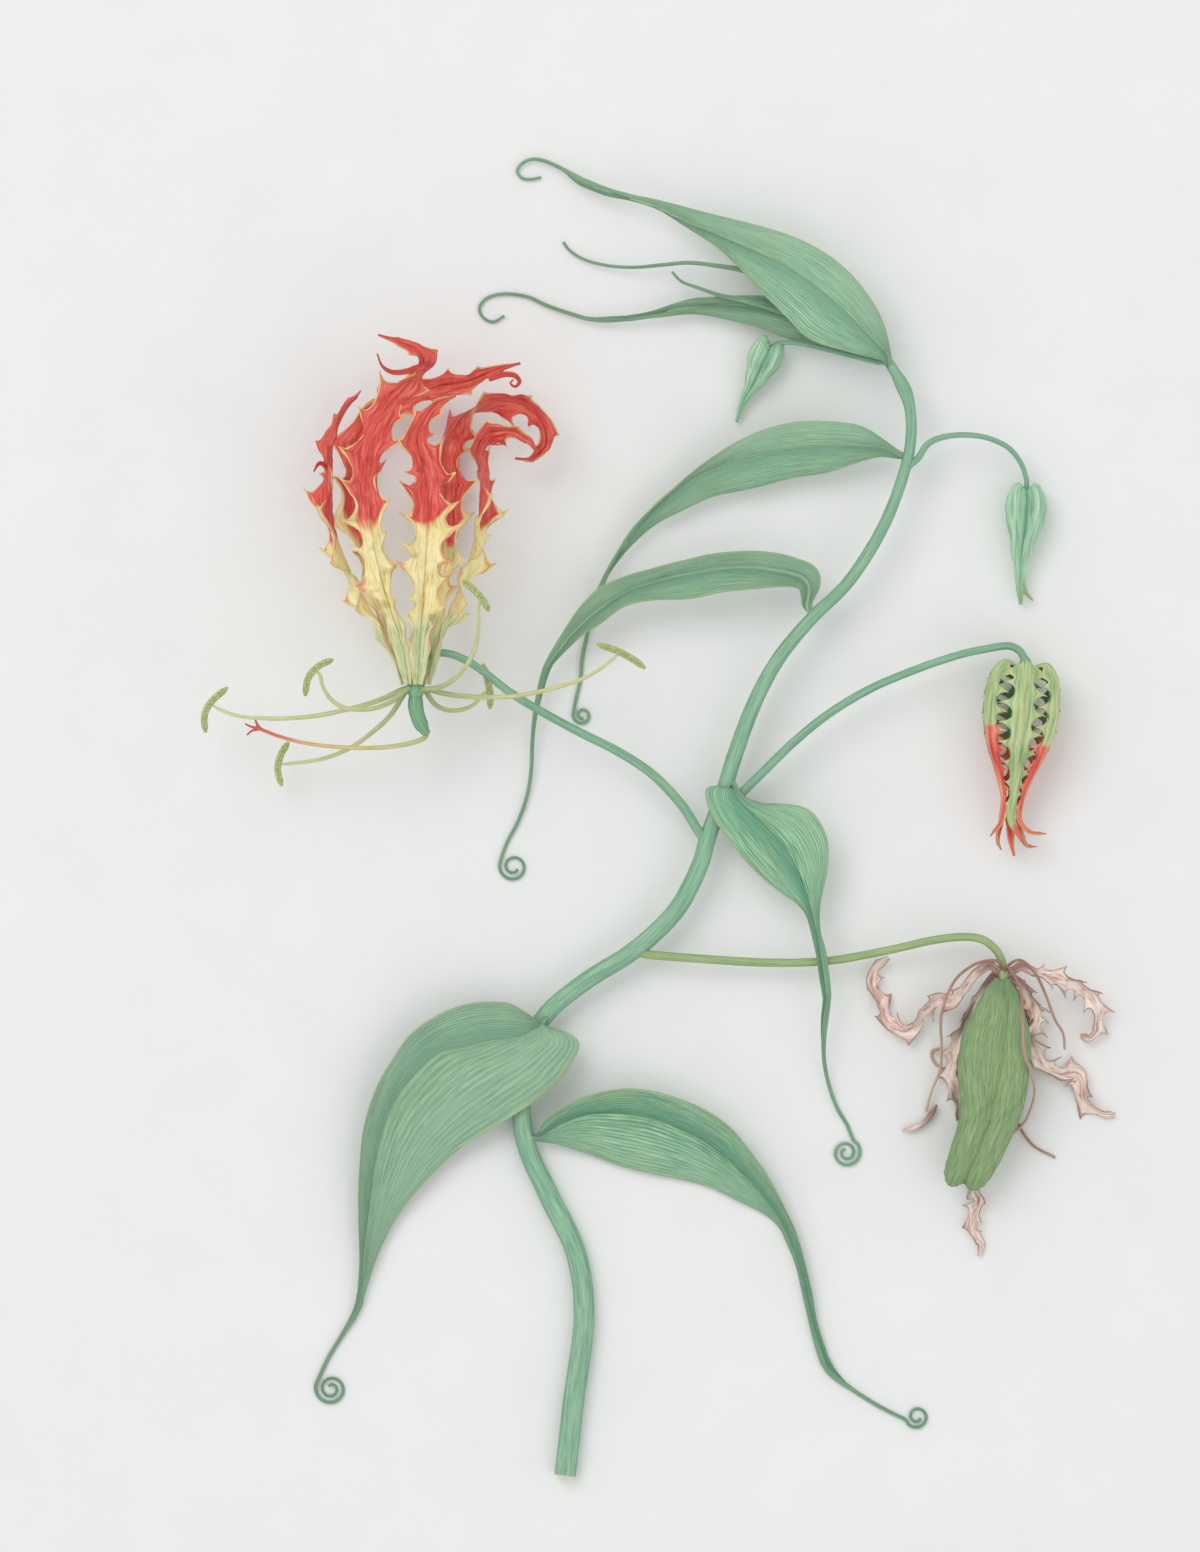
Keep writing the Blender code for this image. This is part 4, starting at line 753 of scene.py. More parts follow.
def leaf(name, root, left, rib, right, tail, arches=(0.06, 0.06), leads=(1, 1), shaded=1, tone=1, narrowed=1):
    """A leaf between its two edges and its rib, which runs on as a round tendril."""
    x, y, height = root
    first_x, first_y, _ = rib[0]
    line = line_of([root, *rib, *tail], LEAF_STEPS)
    end = len(rib) * LEAF_STEPS
    shares = even(LEAF_STATIONS)
    ribs = spaced(line[: end + 1], shares)
    edges = []
    for edge, lead in zip((left, right), leads):
        start = (x + ROOT_WIDTH * (edge[0][0] - first_x), y + ROOT_WIDTH * (edge[0][1] - first_y), height)
        places = spaced(line_of([start, *edge], LEAF_STEPS), [share**lead for share in shares])
        edges.append([middle.lerp(place, narrowed) for middle, place in zip(ribs, places)])
    grid = arched(edges, ribs, arches)
    tail_shares = even(math.ceil(length_of(line[end:]) / TENDRIL_STEP), 1)
    grid += tendril(line[end:], tail_shares, edges[0][-1] - edges[1][-1])
    rounding = [0.0] * (LEAF_STATIONS + 1) + [smooth_step(8 * share) for share in tail_shares]
    round_off = np.array(rounding)[:, None]
    blade = (LEAF_THICKNESS / 2) * (1 - 0.6 * np.abs(LEAF_COLUMNS) ** 3)
    widths = np.array([(row[0] - row[-1]).length / 2 for row in grid])
    strand = np.minimum(0.95 * TENDRIL_HALF, widths)[:, None] * np.sqrt(1 - 0.98 * LEAF_COLUMNS**2)
    half_thickness = blade * (1 - round_off) + strand * round_off
    where = np.arange(len(grid)) / LEAF_STATIONS
    phases = np.where(LEAF_COLUMNS > 0, 0.9, 2.4)
    waves = np.sin(2 * math.pi * LEAF_WAVES * where[:, None] + phases + len(name))
    crease = LEAF_CREASE_DEPTH * bell(LEAF_COLUMNS, LEAF_CREASE_WIDTH)
    relief = inside_ends(where, 0.12) * (WAVE_HEIGHT * LEAF_COLUMNS**2 * waves - crease)
    rings, skin = sheet_rings(grid, LEAF_COLUMNS, half_thickness, relief)
    spread = np.clip(widths / (2 * MM), 0, 1)[:, None]
    skin[:, :, 0] = skin[:, :, 0] * spread - TENDRIL_SIDE * shaded * (1 - spread)
    piece(name, [(rings, skin)], leaf_finish(name, shaded, tone))


STALKS = {  # each route starts inside the stem and ends inside what it carries
    "flower_stalk": (
        [(707, 842, 7.0), (697, 829, 7.6), (681, 804, 8.0), (652, 774, 9.0), (617, 751, 10.2),
         (581, 733, 11.8), (542, 712, 13.6), (511, 693, 15.2), (484, 672, 16.6), (465, 660, 17.4),
         (448, 654, 18.2), (432, 655, 19.2), (421, 665, 20.6), (417, 678, 21.0), (417, 690, 21.0),
         (417, 697, 21.0)],
        [(0, 1.05), (0.9, 0.85), (0.954, 0.85), (0.966, 1.9), (0.985, 2.0), (1, 1.5)],
    ),
    "opening_bud_stalk": (
        [(724, 806, 7.4), (736.5, 798, 7.4), (762, 773, 7.6), (795, 741, 8.0), (830, 713, 8.4),
         (872, 688, 8.8), (920, 668, 9.2), (959, 655, 9.5), (986, 649, 9.7), (1007, 646, 9.8),
         (1018, 650, 9.8), (1024, 659, 9.8), (1025, 668, 9.6), (1025, 673, 9.5)],
        [(0, 1.0), (0.9, 0.85), (0.955, 0.85), (0.975, 1.4), (1, 1.1)],
    ),
    "pod_stalk": (
        [(634, 951, 6.1), (651, 955, 6.2), (700, 959, 5.4), (770, 963, 5.0), (830, 961, 4.9), (891, 950, 5.6),
         (930, 941, 6.6), (960, 937, 7.6), (981, 939, 8.4), (995, 949, 8.8), (1002, 962, 8.8),
         (1003, 975, 8.8), (1002.5, 982, 8.6)],
        [(0, 0.95), (0.9, 0.9), (0.955, 0.9), (0.975, 1.4), (1, 1.1)],
    ),
    "green_bud_stalk": (
        [(909, 466, 9.5), (918, 458, 9.4), (928, 444, 9.3), (944, 437, 9.0), (966, 435, 8.4), (988, 438, 7.6),
         (1008, 447, 6.6), (1021, 462, 5.6), (1027, 479, 5.0), (1027, 488, 4.8), (1027, 494, 4.7)],
        [(0, 0.75), (0.5, 0.6), (1, 0.55)],
    ),
    "small_bud_stalk": (
        [(886, 362, 8.9), (877, 362, 8.4), (853, 356, 8.2), (826, 349, 7.6), (799, 343, 6.6), (782, 342, 5.4),
         (777, 343, 5.0), (771, 347, 4.5)],
        [(0, 0.6), (1, 0.5)],
    ),
}


def stalks():
    green = stem_finish("stalk", (88, 142, 116), (120, 168, 138), (156, 196, 162))
    old = stem_finish("pod_stalk", (112, 148, 96), (144, 172, 118), (178, 194, 140))
    for name, (route, radii) in STALKS.items():
        of_pod = name == "pod_stalk"
        shell = tube_rings(route, radii, 0.45 * MM, 20, ribs=7, rib_depth=0.015, grain=0.04 * MM)
        piece(name, [shell], old if of_pod else green)


FLOWER = (417, 684, 21.0)  # the receptacle's pixel and height
# How far each tepal stands out from the flower's axis, in pixels, at distances along that axis
TEPAL_PROFILE = [(-1, 12.5), (18, 17), (45, 27), (85, 50), (125, 68), (165, 78), (205, 79)]
CUP = 20  # pixels along the axis, up to which all tepals stand out equally
TEPALS = {
    "tepal_left": dict(
        azimuth=172, reach=1.08,
        tip=[(334, 446, 22), (343, 419, 24), (363, 395, 27)],
        across=[(0.75, (-0.3, -0.2, -0.9)), (1, (-0.6, -0.5, -0.6))],
    ),
    "tepal_front_left": dict(
        azimuth=124, reach=0.98, phase=0.5,
        tip=[(377, 447, 34), (392, 415, 35), (412, 388, 36), (425, 370, 38), (420, 357, 40), (403, 350, 41),
             (382, 343, 42)],
        across=[(0.72, (-0.9, -0.3, -0.3)), (0.84, (-0.6, -0.7, 0.2)), (1, (0.3, -0.9, 0.2))],
    ),
    "tepal_front": dict(
        azimuth=80, reach=0.98,
        tip=[(420, 447, 39), (428, 424, 38), (441, 409, 38), (458, 402, 40)],
        across=[(0.75, (-0.9, 0.1, 0.2)), (1, (-0.5, 0.8, 0.2))],
    ),
    "tepal_right": dict(
        azimuth=14, reach=0.85, phase=0.5,
        tip=[(477, 455, 26), (487, 438, 28), (508, 434, 30), (527, 442, 31), (538, 456, 30)],
        across=[(0.72, (-0.3, 0.6, 0.7)), (1, (0.7, 0.5, 0.3))],
    ),
    "tepal_back_right": dict(
        azimuth=292, reach=0.98,
        tip=[(449, 442, 5), (464, 417, 8), (494, 402, 11), (524, 405, 13), (543, 423, 13), (546, 445, 10),
             (532, 459, 7), (515, 458, 5)],
        across=[(0.66, (0.5, 0.3, 0.8)), (0.78, (0.0, 0.8, 0.6)), (0.9, (0.7, 0.4, 0.5)),
                (1, (0.2, -0.8, 0.5))],
    ),
    "tepal_back_left": dict(
        azimuth=222, reach=1.0, phase=0.5,
        tip=[(360, 445, 9), (378, 415, 8), (410, 396, 9), (440, 387, 14), (470, 382, 17), (497, 372, 20),
             (521, 366, 21)],
        across=[(0.6, (0.6, 0.3, -0.4)), (0.75, (0.0, 0.9, 0.3)), (1, (-0.1, 0.9, 0.2))],
    ),
}

TEPAL_HALF = 5.1  # millimetres, at its widest
TEPAL_WIDTHS = [
    (0, 1.1), (0.05, 1.8), (0.12, 2.4), (0.24, 3.3), (0.38, 0.92 * TEPAL_HALF), (0.5, TEPAL_HALF),
    (0.64, TEPAL_HALF), (0.8, 0.7 * TEPAL_HALF), (0.9, 0.36 * TEPAL_HALF), (1, 0.3),
]
TEPAL_THICKNESS = 0.7 * MM
TEPAL_FOLD = 20  # degrees
CRISPS = 10  # horned waves along each edge
CRISP_START, CRISP_END = 0.15, 0.95
CRISP_LIFT = 1.7 * MM
HORN, BITE = 0.52, 0.88


def crisped(phase):
    """Edges drawn out into horns with round bites between them, and thrown up and down by turns."""

    def waves(share, side):
        turn = CRISPS * (share - CRISP_START) / (CRISP_END - CRISP_START) + 0.5 * side + phase
        strength = min(1.0, max(0.0, share - 0.1) / 0.12, (1 - share) / 0.12)
        uneven = 1 + 0.35 * math.sin(2.4 * turn + 4 * phase + 1.7 * side)
        factor = (HORN * uneven - BITE * abs(math.sin(math.pi * turn)) ** 0.5) * strength
        calm = 1 - 0.6 * smooth_step((share - 0.5) / 0.3)
        throw = math.cos(math.pi * turn) + 0.4 * math.sin(1.3 * turn + side)
        return factor, CRISP_LIFT * strength * calm * throw

    return waves


def tepal(azimuth, reach, tip, across, phase=0.0):
    """A reflexed tepal: out from the receptacle and up round the flower's axis, then along its own tip."""
    angle = math.radians(azimuth)
    x, y, height = FLOWER
    route = []
    for along, out in TEPAL_PROFILE:
        out *= reach if along > CUP else 1
        route.append((x + out * math.cos(angle), y - along, height + out * math.sin(angle) * PIXEL / MM))
    round_axis = Vector((-math.sin(angle), 0, math.cos(angle)))
    table = [(0, round_axis), (0.5, round_axis)] + [(share, Vector(way)) for share, way in across]
    return ribbon(
        route + tip, lambda share: eased(share, TEPAL_WIDTHS) * MM, stations=420, columns=16, across=table,
        thickness=TEPAL_THICKNESS, fold=TEPAL_FOLD, waves=crisped(phase), crumple=0.3 * MM, seed=azimuth / 60,
        lean=0.8,
    )


CURLS = {  # drawn-out points of single tepals that curl, and how far along it they start
    "tepal_front_left": ([(426, 373, 38.5), (410, 378, 39.5), (396, 379, 40.3), (386, 373, 40.8),
                          (381, 361, 41)], 50),
    "tepal_back_left": ([(490, 380, 19), (504, 377, 20), (515, 378, 20.5), (520, 384, 20.5), (516, 389, 20),
                         (511, 386, 20), (514, 382, 20)], 50),
    "tepal_left": ([(331, 477, 21.5), (327, 468, 22), (321, 466, 22.5), (316, 474, 23)], 40),
}
CURL_RADII = [(0, 0.9), (0.4, 0.65), (1, 0.2)]


def open_flower():
    finish = tepal_finish()
    for name, shape in TEPALS.items():
        shells = [tepal(**shape)]
        if name in CURLS:
            route, start = CURLS[name]
            shells.append(tube_rings(route, CURL_RADII, 0.15 * MM, 14, start=start * MM))
        piece(name, shells, finish)


STAMEN_ROOT = (417, 690, 21)  # inside the receptacle
# Each stamen is the route of its filament and that of its anther, which the filament's end meets
STAMENS = {
    "left": (
        [(404, 690, 21), (380, 701, 22), (349, 710, 22.6), (312, 717, 22.6), (273, 719, 22), (239, 716, 21),
         (219, 708, 20)],
        [(230, 688, 20), (214, 702, 20), (207, 716, 20), (208, 733, 20)],
    ),
    "front_left": (
        [(408, 690, 23.2), (392, 703, 26), (371, 710, 28.6), (349, 709, 30.6), (334, 700, 32),
         (326, 686, 33.2), (324, 676.5, 34)],
        [(337, 661, 34), (322, 668, 34.3), (312, 680, 34), (309, 697, 33.4)],
    ),
    "low_left": (
        [(407, 692, 19.2), (391, 716, 17), (371, 734, 15), (349, 749, 13), (322, 759, 11.4), (286, 764, 9.5)],
        [(289, 742, 9.4), (281, 755, 9.2), (278, 770, 9.2), (282, 786, 9.4)],
    ),
    "right": (
        [(430, 690, 21), (450, 695, 22.4), (484, 698, 23.8), (521, 696, 24.4), (557, 688, 24), (588, 677, 23),
         (614.5, 658.5, 21.9)],
        [(597, 645, 22), (615, 651, 21.6), (631, 659, 21.6), (645, 669, 22)],
    ),
    "low_right": (
        [(426, 690.5, 19.5), (436, 705, 16.8), (453, 711, 14), (472, 706, 11.4), (484, 693.5, 8.8)],
        [(483, 664, 8.6), (487, 678, 8), (490, 693, 8), (490, 709, 8.2)],
    ),
    "front_right": (
        [(426, 690, 23.4), (444, 687, 27), (462, 675, 31), (475, 654, 34), (480, 630, 36),
         (480.5, 608, 37.4)],
        [(465, 584, 38), (475, 592, 38.4), (484, 602, 38.4), (491, 614, 38)],
    ),
}
FILAMENT_RADII = [(0, 0.62), (0.6, 0.5), (0.93, 0.4), (1, 0.2)]
ANTHER_RADII = [(0, 0.45), (0.12, 0.95), (0.5, 1.0), (0.88, 0.95), (1, 0.45)]


def stamens():
    pale = strand_finish("filament", 45 * MM, (0, 150, 172, 116), (0.3, 196, 200, 146), (1, 208, 208, 158))
    olive = anther_finish()
    for name, (route, anther) in STAMENS.items():
        end = Vector(route[-1])
        held = min(smooth_line([Vector(place) for place in anther]), key=lambda place: (place - end).length)
        filament = tube_rings([*rooted(route, STAMEN_ROOT, 0.6), held], FILAMENT_RADII, 0.5 * MM, 12)
        piece("filament_" + name, [filament], pale)
        body = tube_rings(
            anther, ANTHER_RADII, 0.15 * MM, 20, lobes=2, depth=0.22, grain=0.05 * MM, seed=len(name),
        )
        piece("anther_" + name, [body], olive)


OVARY_ROUTE = [(417, 690, 21), (417, 708, 20.8), (421, 722, 20.2), (428, 735, 19.2)]
OVARY_RADII = [(0, 1.3), (0.3, 1.8), (0.75, 1.7), (0.94, 1.1), (1, 0.6)]
STYLE_ROUTE = [
    (429, 731, 19.4), (424, 739, 18.2), (404, 745, 17.6), (374, 748, 17.4), (337, 747, 17.4),
    (306, 743, 17.2), (279, 736, 17), (257, 727, 17),
]
STYLE_FORK = (262, 729, 17)
STYLE_BRANCHES = [
    [(253, 727, 17.4), (247, 724, 17.8)], [(258, 723, 16.6), (256, 717, 16.2)], [(254, 731, 17.6),
                                                                                 (249, 735, 18.4)],
]
STYLE_STOPS = [
    (0, 176, 186, 118), (0.25, 206, 202, 142), (0.62, 220, 186, 130), (0.85, 224, 112, 92), (1, 206, 62, 58),
]


def pistil():
    """The ovary, and the style that runs out from under it and ends in three red branches."""
    green = stem_finish("ovary", (84, 140, 110), (116, 164, 128), (150, 188, 148))
    shell = tube_rings(OVARY_ROUTE, OVARY_RADII, 0.2 * MM, 36, lobes=3, depth=0.22, grain=0.03 * MM)
    piece("ovary", [shell], green)
    shells = [tube_rings(STYLE_ROUTE, [(0, 0.55), (1, 0.4)], 0.5 * MM, 12)]
    for branch in STYLE_BRANCHES:
        shells.append(tube_rings([STYLE_FORK, *branch], [(0, 0.36), (1, 0.2)], 0.15 * MM, 10, start=38 * MM))
    piece("style", shells, strand_finish("style", 42 * MM, *STYLE_STOPS))


BUD_TOP = (1024.5, 671, 9.4)
BUD_TIP = (1012, 806, 7.4)
# How far each tepal of the opening bud stands out from its axis, at distances along it, both in pixels
BUD_PROFILE = [(0, 8.5), (-6, 16), (-7, 27), (8, 37), (40, 40), (72, 34), (104, 20), (128, 11.5), (148, 11)]
BUD_TEPALS = {  # the angle round the axis, and the free end past the tip
    "front": (90, [(1019, 836, 10.2), (1024, 844, 10.4)]),
    "front_right": (30, [(1030, 832, 8.8), (1046, 834, 9.2)]),
    "front_left": (150, [(998, 826, 8.8), (990, 836, 9.2)]),
    "back_left": (210, [(998, 838, 6.4), (1001, 850, 6.2)]),
    "back": (270, [(1012, 842, 4.8), (1015, 856, 4.2)]),
    "back_right": (330, [(1026, 844, 5.8), (1037, 847, 5.4)]),
}
BUD_WIDTHS = [
    (0, 0.7), (0.08, 2.0), (0.14, 4.0), (0.3, 5.2), (0.48, 4.7), (0.62, 3.0), (0.74, 1.8), (0.88, 0.9),
    (1, 0.3),
]
BUD_BITES = 10  # over the whole length of an edge


def bitten(share, side):
    """Round bites out of the edges of the opening bud's tepals, with points between them."""
    turn = BUD_BITES * (share - 0.2) + 0.5 * side
    strength = smooth_step((share - 0.15) / 0.04) * smooth_step((0.84 - share) / 0.04)
    return strength * (0.12 - 0.8 * abs(math.sin(math.pi * turn)) ** 0.7), 0.0


def opening_bud():
    """Six tepals that arch from the stalk and still meet at the tip, with bites out of their edges."""
    red_tipped = opening_finish("opening_bud", 19.5 * MM)
    green = opening_finish("opening_bud_front", 42 * MM)
    top, tip = Vector(BUD_TOP), Vector(BUD_TIP)
    along = Vector((tip.x - top.x, tip.y - top.y, 0)).normalized()
    sideways = Vector((along.y, -along.x, 0))
    drop = (tip.z - top.z) / (tip - top).length
    for name, (azimuth, end) in BUD_TEPALS.items():
        angle = math.radians(azimuth)
        route = []
        for distance, out in BUD_PROFILE:
            place = top + along * distance + sideways * (out * math.cos(angle))
            lift = out * math.sin(angle) * PIXEL / MM
            route.append((place.x, place.y, top.z + drop * distance + lift))
        round_axis = Vector((-math.sin(angle) * sideways.x, math.sin(angle) * sideways.y, math.cos(angle)))
        shell = ribbon(
            route + end, lambda share: eased(share, BUD_WIDTHS) * MM, stations=240, columns=14,
            across=[(0, round_axis), (1, round_axis)], thickness=TEPAL_THICKNESS, fold=TEPAL_FOLD, waves=bitten,
            crumple=0.08 * MM, seed=azimuth / 60, lean=0.5,
        )
        piece("opening_bud_" + name, [shell], green if name == "front" else red_tipped)


# Each closed bud has the direction back to its stalk, and a seed for its grain
CLOSED_BUDS = {
    "green_bud": dict(
        route=[(1027, 490, 4.6), (1026, 520, 4.6), (1022, 555, 4.0), (1021, 580, 3.2), (1022, 604, 2.6)],
        radii=[
            (0, 1.9), (0.03, 3.2), (0.08, 4.3), (0.14, 4.6), (0.25, 4.3), (0.5, 2.6), (0.7, 1.4), (0.85, 0.9),
            (1, 0.45),
        ],
        backward=(0.05, 1, 0), seed=0.0,
    ),
    "small_bud": dict(
        route=[(771, 345, 4.2), (765, 358, 4.0), (754, 382, 3.2), (743, 402, 2.2), (737, 421, 1.4)],
        radii=[(0, 1.8), (0.04, 3.0), (0.1, 3.7), (0.2, 3.8), (0.4, 2.6), (0.6, 1.4), (0.8, 0.8), (1, 0.35)],
        backward=(0.41, 0.91, 0), seed=3.0,
    ),
}
BUD_FORK = [(1022, 574, 3.3), (1026, 590, 2.9), (1034, 600, 2.4)]  # the second tip of the green bud
SHOULDER_RISE, SHOULDER_LENGTH, SHOULDER_WIDTH = 1.9 * MM, 3.5 * MM, 4.8 * MM


def closed_bud(route, radii, backward, seed):
    """A closed bud, whose shoulders are drawn back past the place where its stalk enters."""
    rings, skin = tube_rings(
        route, radii, 0.2 * MM, 48, lobes=2, depth=0.2, facing=0.0, grain=0.05 * MM, seed=seed,
    )
    backward = Vector(backward)
    sideways = np.array((backward.y, -backward.x, 0))
    away = np.abs((rings - rings.mean(axis=1, keepdims=True)) @ sideways)
    bulge = np.sin(math.pi * np.minimum(away / SHOULDER_WIDTH, 1))
    rise = SHOULDER_RISE * bell(skin[:, :, 2], SHOULDER_LENGTH) * bulge
    return rings + rise[:, :, None] * np.array(backward), skin


def closed_buds():
    green = bud_finish()
    for name, shape in CLOSED_BUDS.items():
        shells = [closed_bud(**shape)]
        if name == "green_bud":
            shells.append(tube_rings(BUD_FORK, [(0, 0.9), (0.5, 0.6), (1, 0.2)], 0.3 * MM, 12, start=20 * MM))
        piece(name, shells, green)


CARPELS = [
    [(998, 979, 9.2), (984, 1020, 9.8), (976, 1065, 9.6), (978, 1110, 9.2), (964, 1155, 8.2),
     (950, 1186, 7.2)],
    [(1006, 979, 9.2), (1012, 1020, 9.4), (1011, 1065, 9.4), (1003, 1110, 9.0), (986, 1155, 8.2),
     (970, 1190, 7.4)],
    [(1002, 979, 8.2), (998, 1020, 6.4), (994, 1065, 5.8), (989, 1110, 5.8), (973, 1150, 5.8),
     (958, 1184, 6.0)],
]
CARPEL_RADII = [
    (0, 0.9), (0.08, 2.2), (0.3, 4.1), (0.55, 4.2), (0.8, 3.5), (0.9, 3.1), (0.95, 2.6), (0.985, 1.6),
    (1, 0.6),
]
POD_FRONT = [(1001, 981, 9.6), (996, 1020, 10.2), (990, 1065, 10.2), (984, 1105, 9.2), (974, 1140, 8.2)]
POD_FRONT_RADII = [(0, 0.9), (0.12, 2.6), (0.35, 3.7), (0.6, 3.6), (0.85, 2.8), (1, 1.2)]


def pod():
    """The capsule: three swollen carpels grown together, filled out in front and parting at their tips."""
    shells = [
        tube_rings(route, CARPEL_RADII, 0.3 * MM, 48, ribs=5, rib_depth=0.008, grain=0.05 * MM, seed=index)
        for index, route in enumerate(CARPELS)
    ]
    shells.append(tube_rings(POD_FRONT, POD_FRONT_RADII, 0.3 * MM, 48, grain=0.05 * MM, seed=4.0))
    piece("pod", shells, pod_finish())


WITHERED = {
    "left": ([(994, 968, 10.4), (988, 965, 10.4), (975, 974, 9.2), (966, 987, 7.6), (955, 1000, 6.0),
              (940, 999, 4.6), (923, 1010, 3.4), (915, 1026, 2.6), (900, 1030, 2.2), (887, 1022, 2.2),
              (880, 1004, 2.2), (871, 985, 2.0), (875, 970, 1.8), (890, 959, 1.6)], 1.5),
    "left_low": ([(995, 975, 7.2), (984, 990, 6.0), (970, 1012, 4.2), (960, 1042, 2.4), (955, 1075, 1.3),
                  (958, 1100, 1.2), (958, 1122, 1.2)], 1.6),
    "right_top": ([(1013, 970, 10.0), (1022, 966, 10.2), (1035, 973, 9.4), (1060, 979, 7.6), (1081, 985, 6.0),
                   (1094, 1000, 4.6), (1097, 1019, 3.4), (1093, 1037, 2.4), (1082, 1037, 1.8)], 1.6),
    "right": ([(1012, 978, 7.6), (1023, 986, 7.0), (1032, 1000, 6.0), (1034, 1020, 5.0),
               (1030, 1044, 4.0)], 1.6),
    "right_low": ([(1010, 984, 5.4), (1026, 1014, 2.6), (1033, 1046, 1.5), (1045, 1070, 1.2),
                   (1064, 1077, 1.2), (1081, 1077, 1.4), (1085, 1098, 1.4), (1100, 1112, 1.3),
                   (1117, 1116, 1.0)], 1.7),
    "below": ([(1003, 985, 4.4), (1008, 1014, 1.5), (1010, 1060, 0.5), (1002, 1110, 0.5), (988, 1155, 0.6),
               (979, 1188, 0.9), (982, 1203, 1.1), (975, 1219, 1.2), (974, 1233, 1.1), (981, 1245, 0.9),
               (980, 1258, 0.7)], 1.3),
}
WITHERED_ROOT = (1003, 975, 8.6)  # inside the top of the pod's stalk
WITHERED_THICKNESS = 0.65 * MM
WIDENED = 1.6  # how many times wider a rolled tepal is than it looks
THORNS = 6  # points along each edge


def withered_tepals():
    finish = withered_finish("withered")
    for index, (name, (route, half)) in enumerate(WITHERED.items()):
        hidden = 0.6 if name == "below" else 0.2
        width = [(0, 0.6), (hidden, 0.7), (hidden + 0.15, half), (0.85, half), (0.94, 0.8), (1, 0.4)]

        def thorned(share, side):
            turn = THORNS * (share - hidden) / (0.95 - hidden) + 0.5 * side + 0.3 * index
            strength = smooth_step((share - hidden) / 0.05) * smooth_step((0.97 - share) / 0.05)
            return (0.7 - 1.1 * abs(math.sin(math.pi * turn)) ** 0.5) * strength, 0.0

        def rolled(share):
            turn = 2 * math.pi * (1.6 * share + 0.21 * index)
            return 0.9 * math.sin(turn) * smooth_step(3 * (share - 0.5 * hidden))

        shell = ribbon(
            rooted(route, WITHERED_ROOT, 0.75), lambda share: eased(share, width) * WIDENED * MM,
            stations=300, columns=12, across=None, thickness=WITHERED_THICKNESS, fold=30, waves=thorned,
            crumple=0.32 * MM, seed=3.0 * index, lean=0.6, roll=rolled,
        )
        piece("withered_tepal_" + name, [shell], finish)


WITHERED_THREADS = {
    "left": [(998, 962, 11.4), (988, 960, 12.2), (972, 965, 12), (956, 978, 10.6), (946, 998, 8.6),
             (941, 1020, 6.6), (942, 1046, 4.6), (941, 1069, 3.4), (932, 1094, 2.0), (927, 1113, 1.4)],
    "curl": [(997, 981, 6.2), (980, 1000, 4.2), (968, 1030, 2.0), (964, 1056, 0.9), (949, 1070, 0.6),
             (936, 1064, 0.5), (933, 1053, 0.5), (942, 1049, 0.5)],
    "right": [(1009, 964, 11.2), (1020, 960, 12.2), (1034, 972, 11.6), (1046, 996, 8.8), (1055, 1019, 6.4),
              (1064, 1034, 4.6), (1066, 1050, 3.2)],
    "front": [(1006, 966, 11.6), (1013, 974, 13.4), (1020, 993, 14.6), (1021, 1022, 15), (1023, 1053, 14.4),
              (1030, 1071, 11.6), (1035, 1092, 7.4), (1030, 1115, 3.0), (1022, 1128, 1.4), (1008, 1140, 0.6)],
}
LOW_THREAD = [(1008, 1096, 1.6), (1018, 1122, 1.2), (1034, 1146, 0.8), (1057, 1159, 0.5)]
THREAD_RADII = [(0, 0.36), (1, 0.3)]
WITHERED_ANTHER = [(938, 1106, 1.4), (929, 1120, 1.2), (917, 1129, 1.0), (903, 1132, 0.9)]
WITHERED_ANTHER_RADII = [(0, 0.4), (0.2, 0.9), (0.8, 0.8), (1, 0.3)]


def withered_threads():
    """The dry stamens: four threads from the pod's stalk, a loose low one, and an anther."""
    brown = strand_finish("thread", 40 * MM, (0, 140, 94, 86), (0.4, 176, 132, 118), (1, 206, 172, 156))
    for name, route in WITHERED_THREADS.items():
        routes = [rooted(route, WITHERED_ROOT, 0.75)]
        if name == "front":
            routes.append(LOW_THREAD)
        shells = [tube_rings(thread, THREAD_RADII, 0.4 * MM, 10) for thread in routes]
        piece("withered_thread_" + name, shells, brown)
    shell = tube_rings(
        WITHERED_ANTHER, WITHERED_ANTHER_RADII, 0.15 * MM, 20, lobes=2, depth=0.25, grain=0.06 * MM,
    )
    piece("withered_anther", [shell], withered_finish("withered_anther"))


FLOOR_SIZE = 8.0
FLOOR_DROP = 0.05 * MM
FLOOR_DARK, FLOOR_LIGHT = (232, 233, 232), (238, 239, 238)


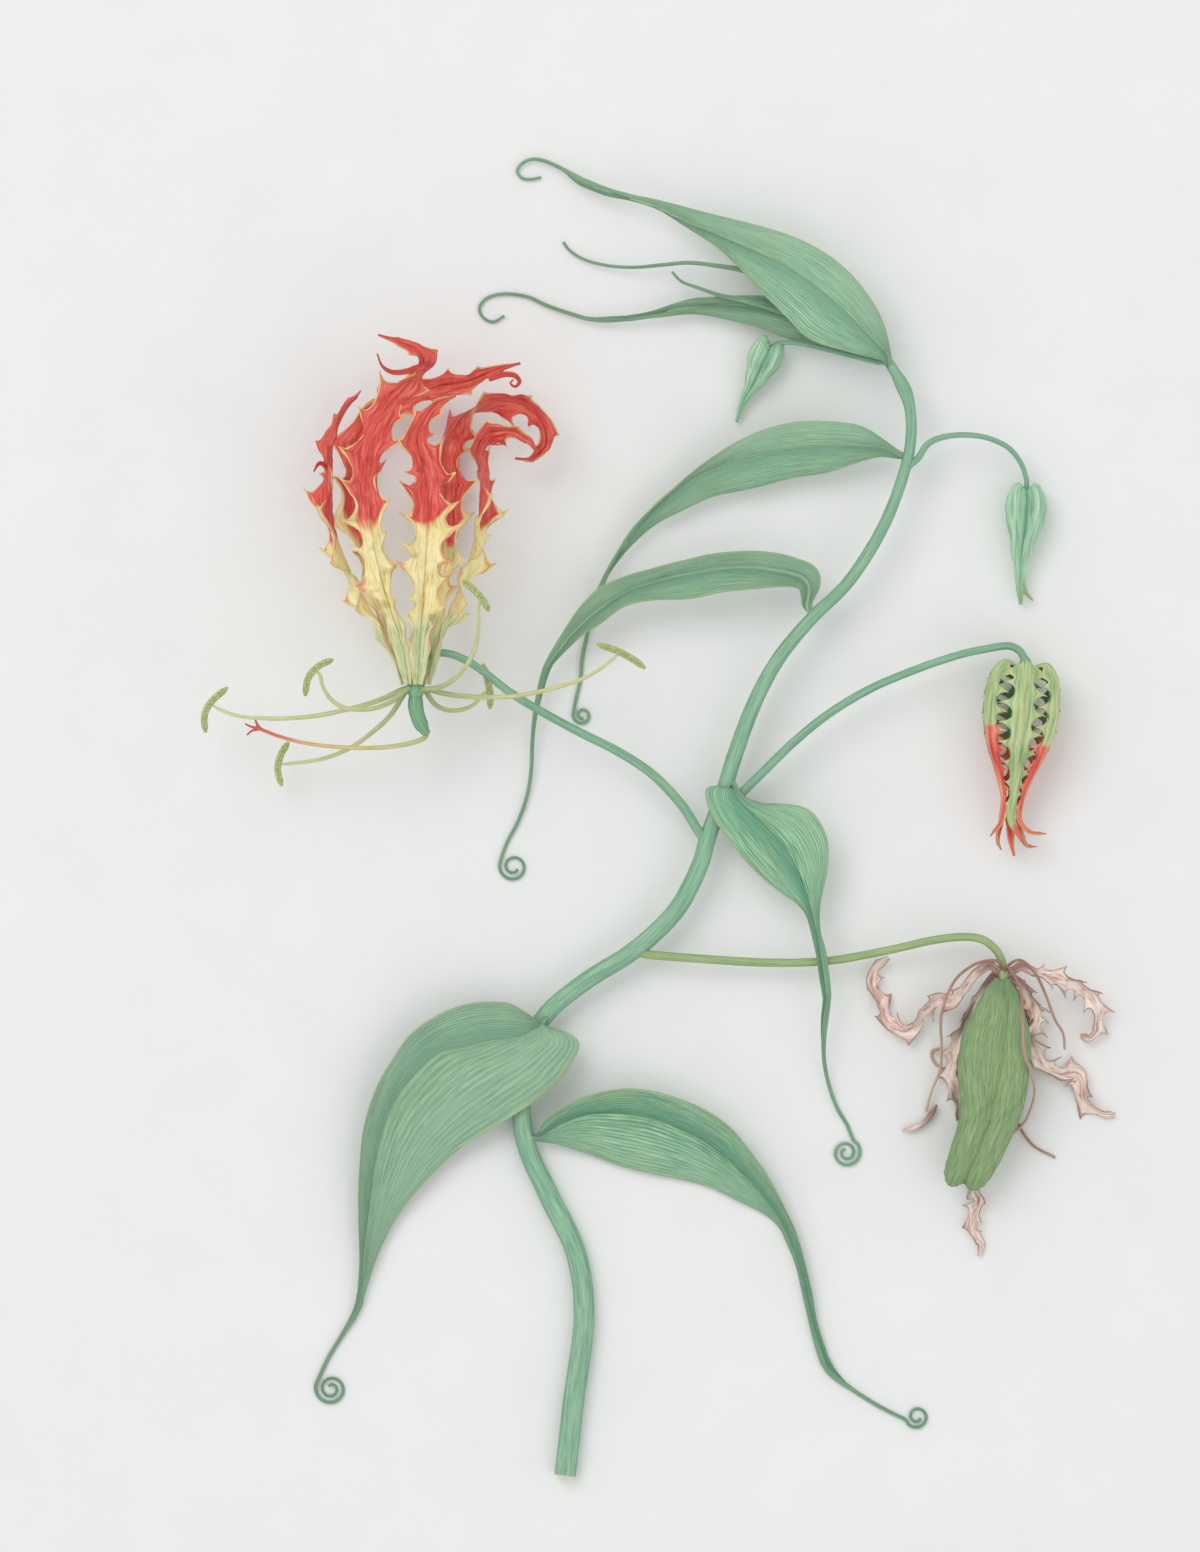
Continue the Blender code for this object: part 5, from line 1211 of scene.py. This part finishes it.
def floor():
    """The pale surface that the shoot lies on, faintly mottled like laid paper."""
    mesh = bmesh.new()
    bmesh.ops.create_grid(mesh, x_segments=8, y_segments=8, size=FLOOR_SIZE / 2)
    data = bpy.data.meshes.new("floor")
    mesh.to_mesh(data)
    mesh.free()
    paper = bpy.data.materials.new("floor")
    paper.use_nodes = True
    nodes, links = paper.node_tree.nodes, paper.node_tree.links
    shader = nodes["Principled BSDF"]
    shader.inputs["Roughness"].default_value = 0.9
    shader.inputs["Specular IOR Level"].default_value = 0.1
    grain = nodes.new("ShaderNodeTexNoise")
    grain.inputs["Scale"].default_value = 60
    ramp = nodes.new("ShaderNodeValToRGB")
    for element, colour in zip(ramp.color_ramp.elements, (FLOOR_DARK, FLOOR_LIGHT)):
        element.color = tint(*colour)
    place = nodes.new("ShaderNodeTexCoord")
    links.new(place.outputs["Object"], grain.inputs["Vector"])
    links.new(grain.outputs[0], ramp.inputs[0])
    links.new(ramp.outputs[0], shader.inputs["Base Color"])
    data.materials.append(paper)
    made = bpy.data.objects.new("floor", data)
    made.location.z = -FLOOR_DROP
    bpy.context.scene.collection.objects.link(made)


SKY = 0.76
LAMPS = {  # place, size and power
    "key": ((-0.9, 1.1, 2.0), 1.6, 16),
    "fill": ((1.2, -0.9, 1.8), 2.0, 5),
}


def lights():
    """An even white sky and two large lamps, which leave soft shadows."""
    world = bpy.data.worlds.new("sky")
    world.use_nodes = True
    background = world.node_tree.nodes["Background"]
    background.inputs["Color"].default_value = (1, 1, 1, 1)
    background.inputs["Strength"].default_value = SKY
    bpy.context.scene.world = world
    bpy.context.scene.view_settings.view_transform = "Standard"
    for name, (place, size, power) in LAMPS.items():
        lamp = bpy.data.lights.new(name, "AREA")
        lamp.shape, lamp.size, lamp.energy = "DISK", size, power
        made = bpy.data.objects.new(name, lamp)
        made.location = place
        made.rotation_euler = (-Vector(place)).to_track_quat("-Z", "Y").to_euler()
        bpy.context.scene.collection.objects.link(made)


LENS = 200  # millimetres: long, because the picture shows the shoot without perspective
SENSOR = 36  # millimetres, over the picture's height
CAMERA_LEVEL = 8 * MM  # the height at which the picture's scale is exact


def camera():
    """Straight above the middle of the picture, with the picture's own frame."""
    data = bpy.data.cameras.new("camera")
    data.lens, data.sensor_width, data.sensor_height, data.sensor_fit = LENS, SENSOR, SENSOR, "AUTO"
    made = bpy.data.objects.new("camera", data)
    distance = PICTURE_HEIGHT * PIXEL * LENS / SENSOR
    made.location = at(*MIDDLE_OF_PICTURE, 0) + UP * (distance + CAMERA_LEVEL)
    bpy.context.scene.collection.objects.link(made)
    bpy.context.scene.camera = made


floor()
lights()
camera()
stem()
for leaf_name, leaf_shape in LEAVES.items():
    leaf(leaf_name, **leaf_shape)
stalks()
open_flower()
stamens()
pistil()
opening_bud()
closed_buds()
pod()
withered_tepals()
withered_threads()

bpy.context.view_layer.update()
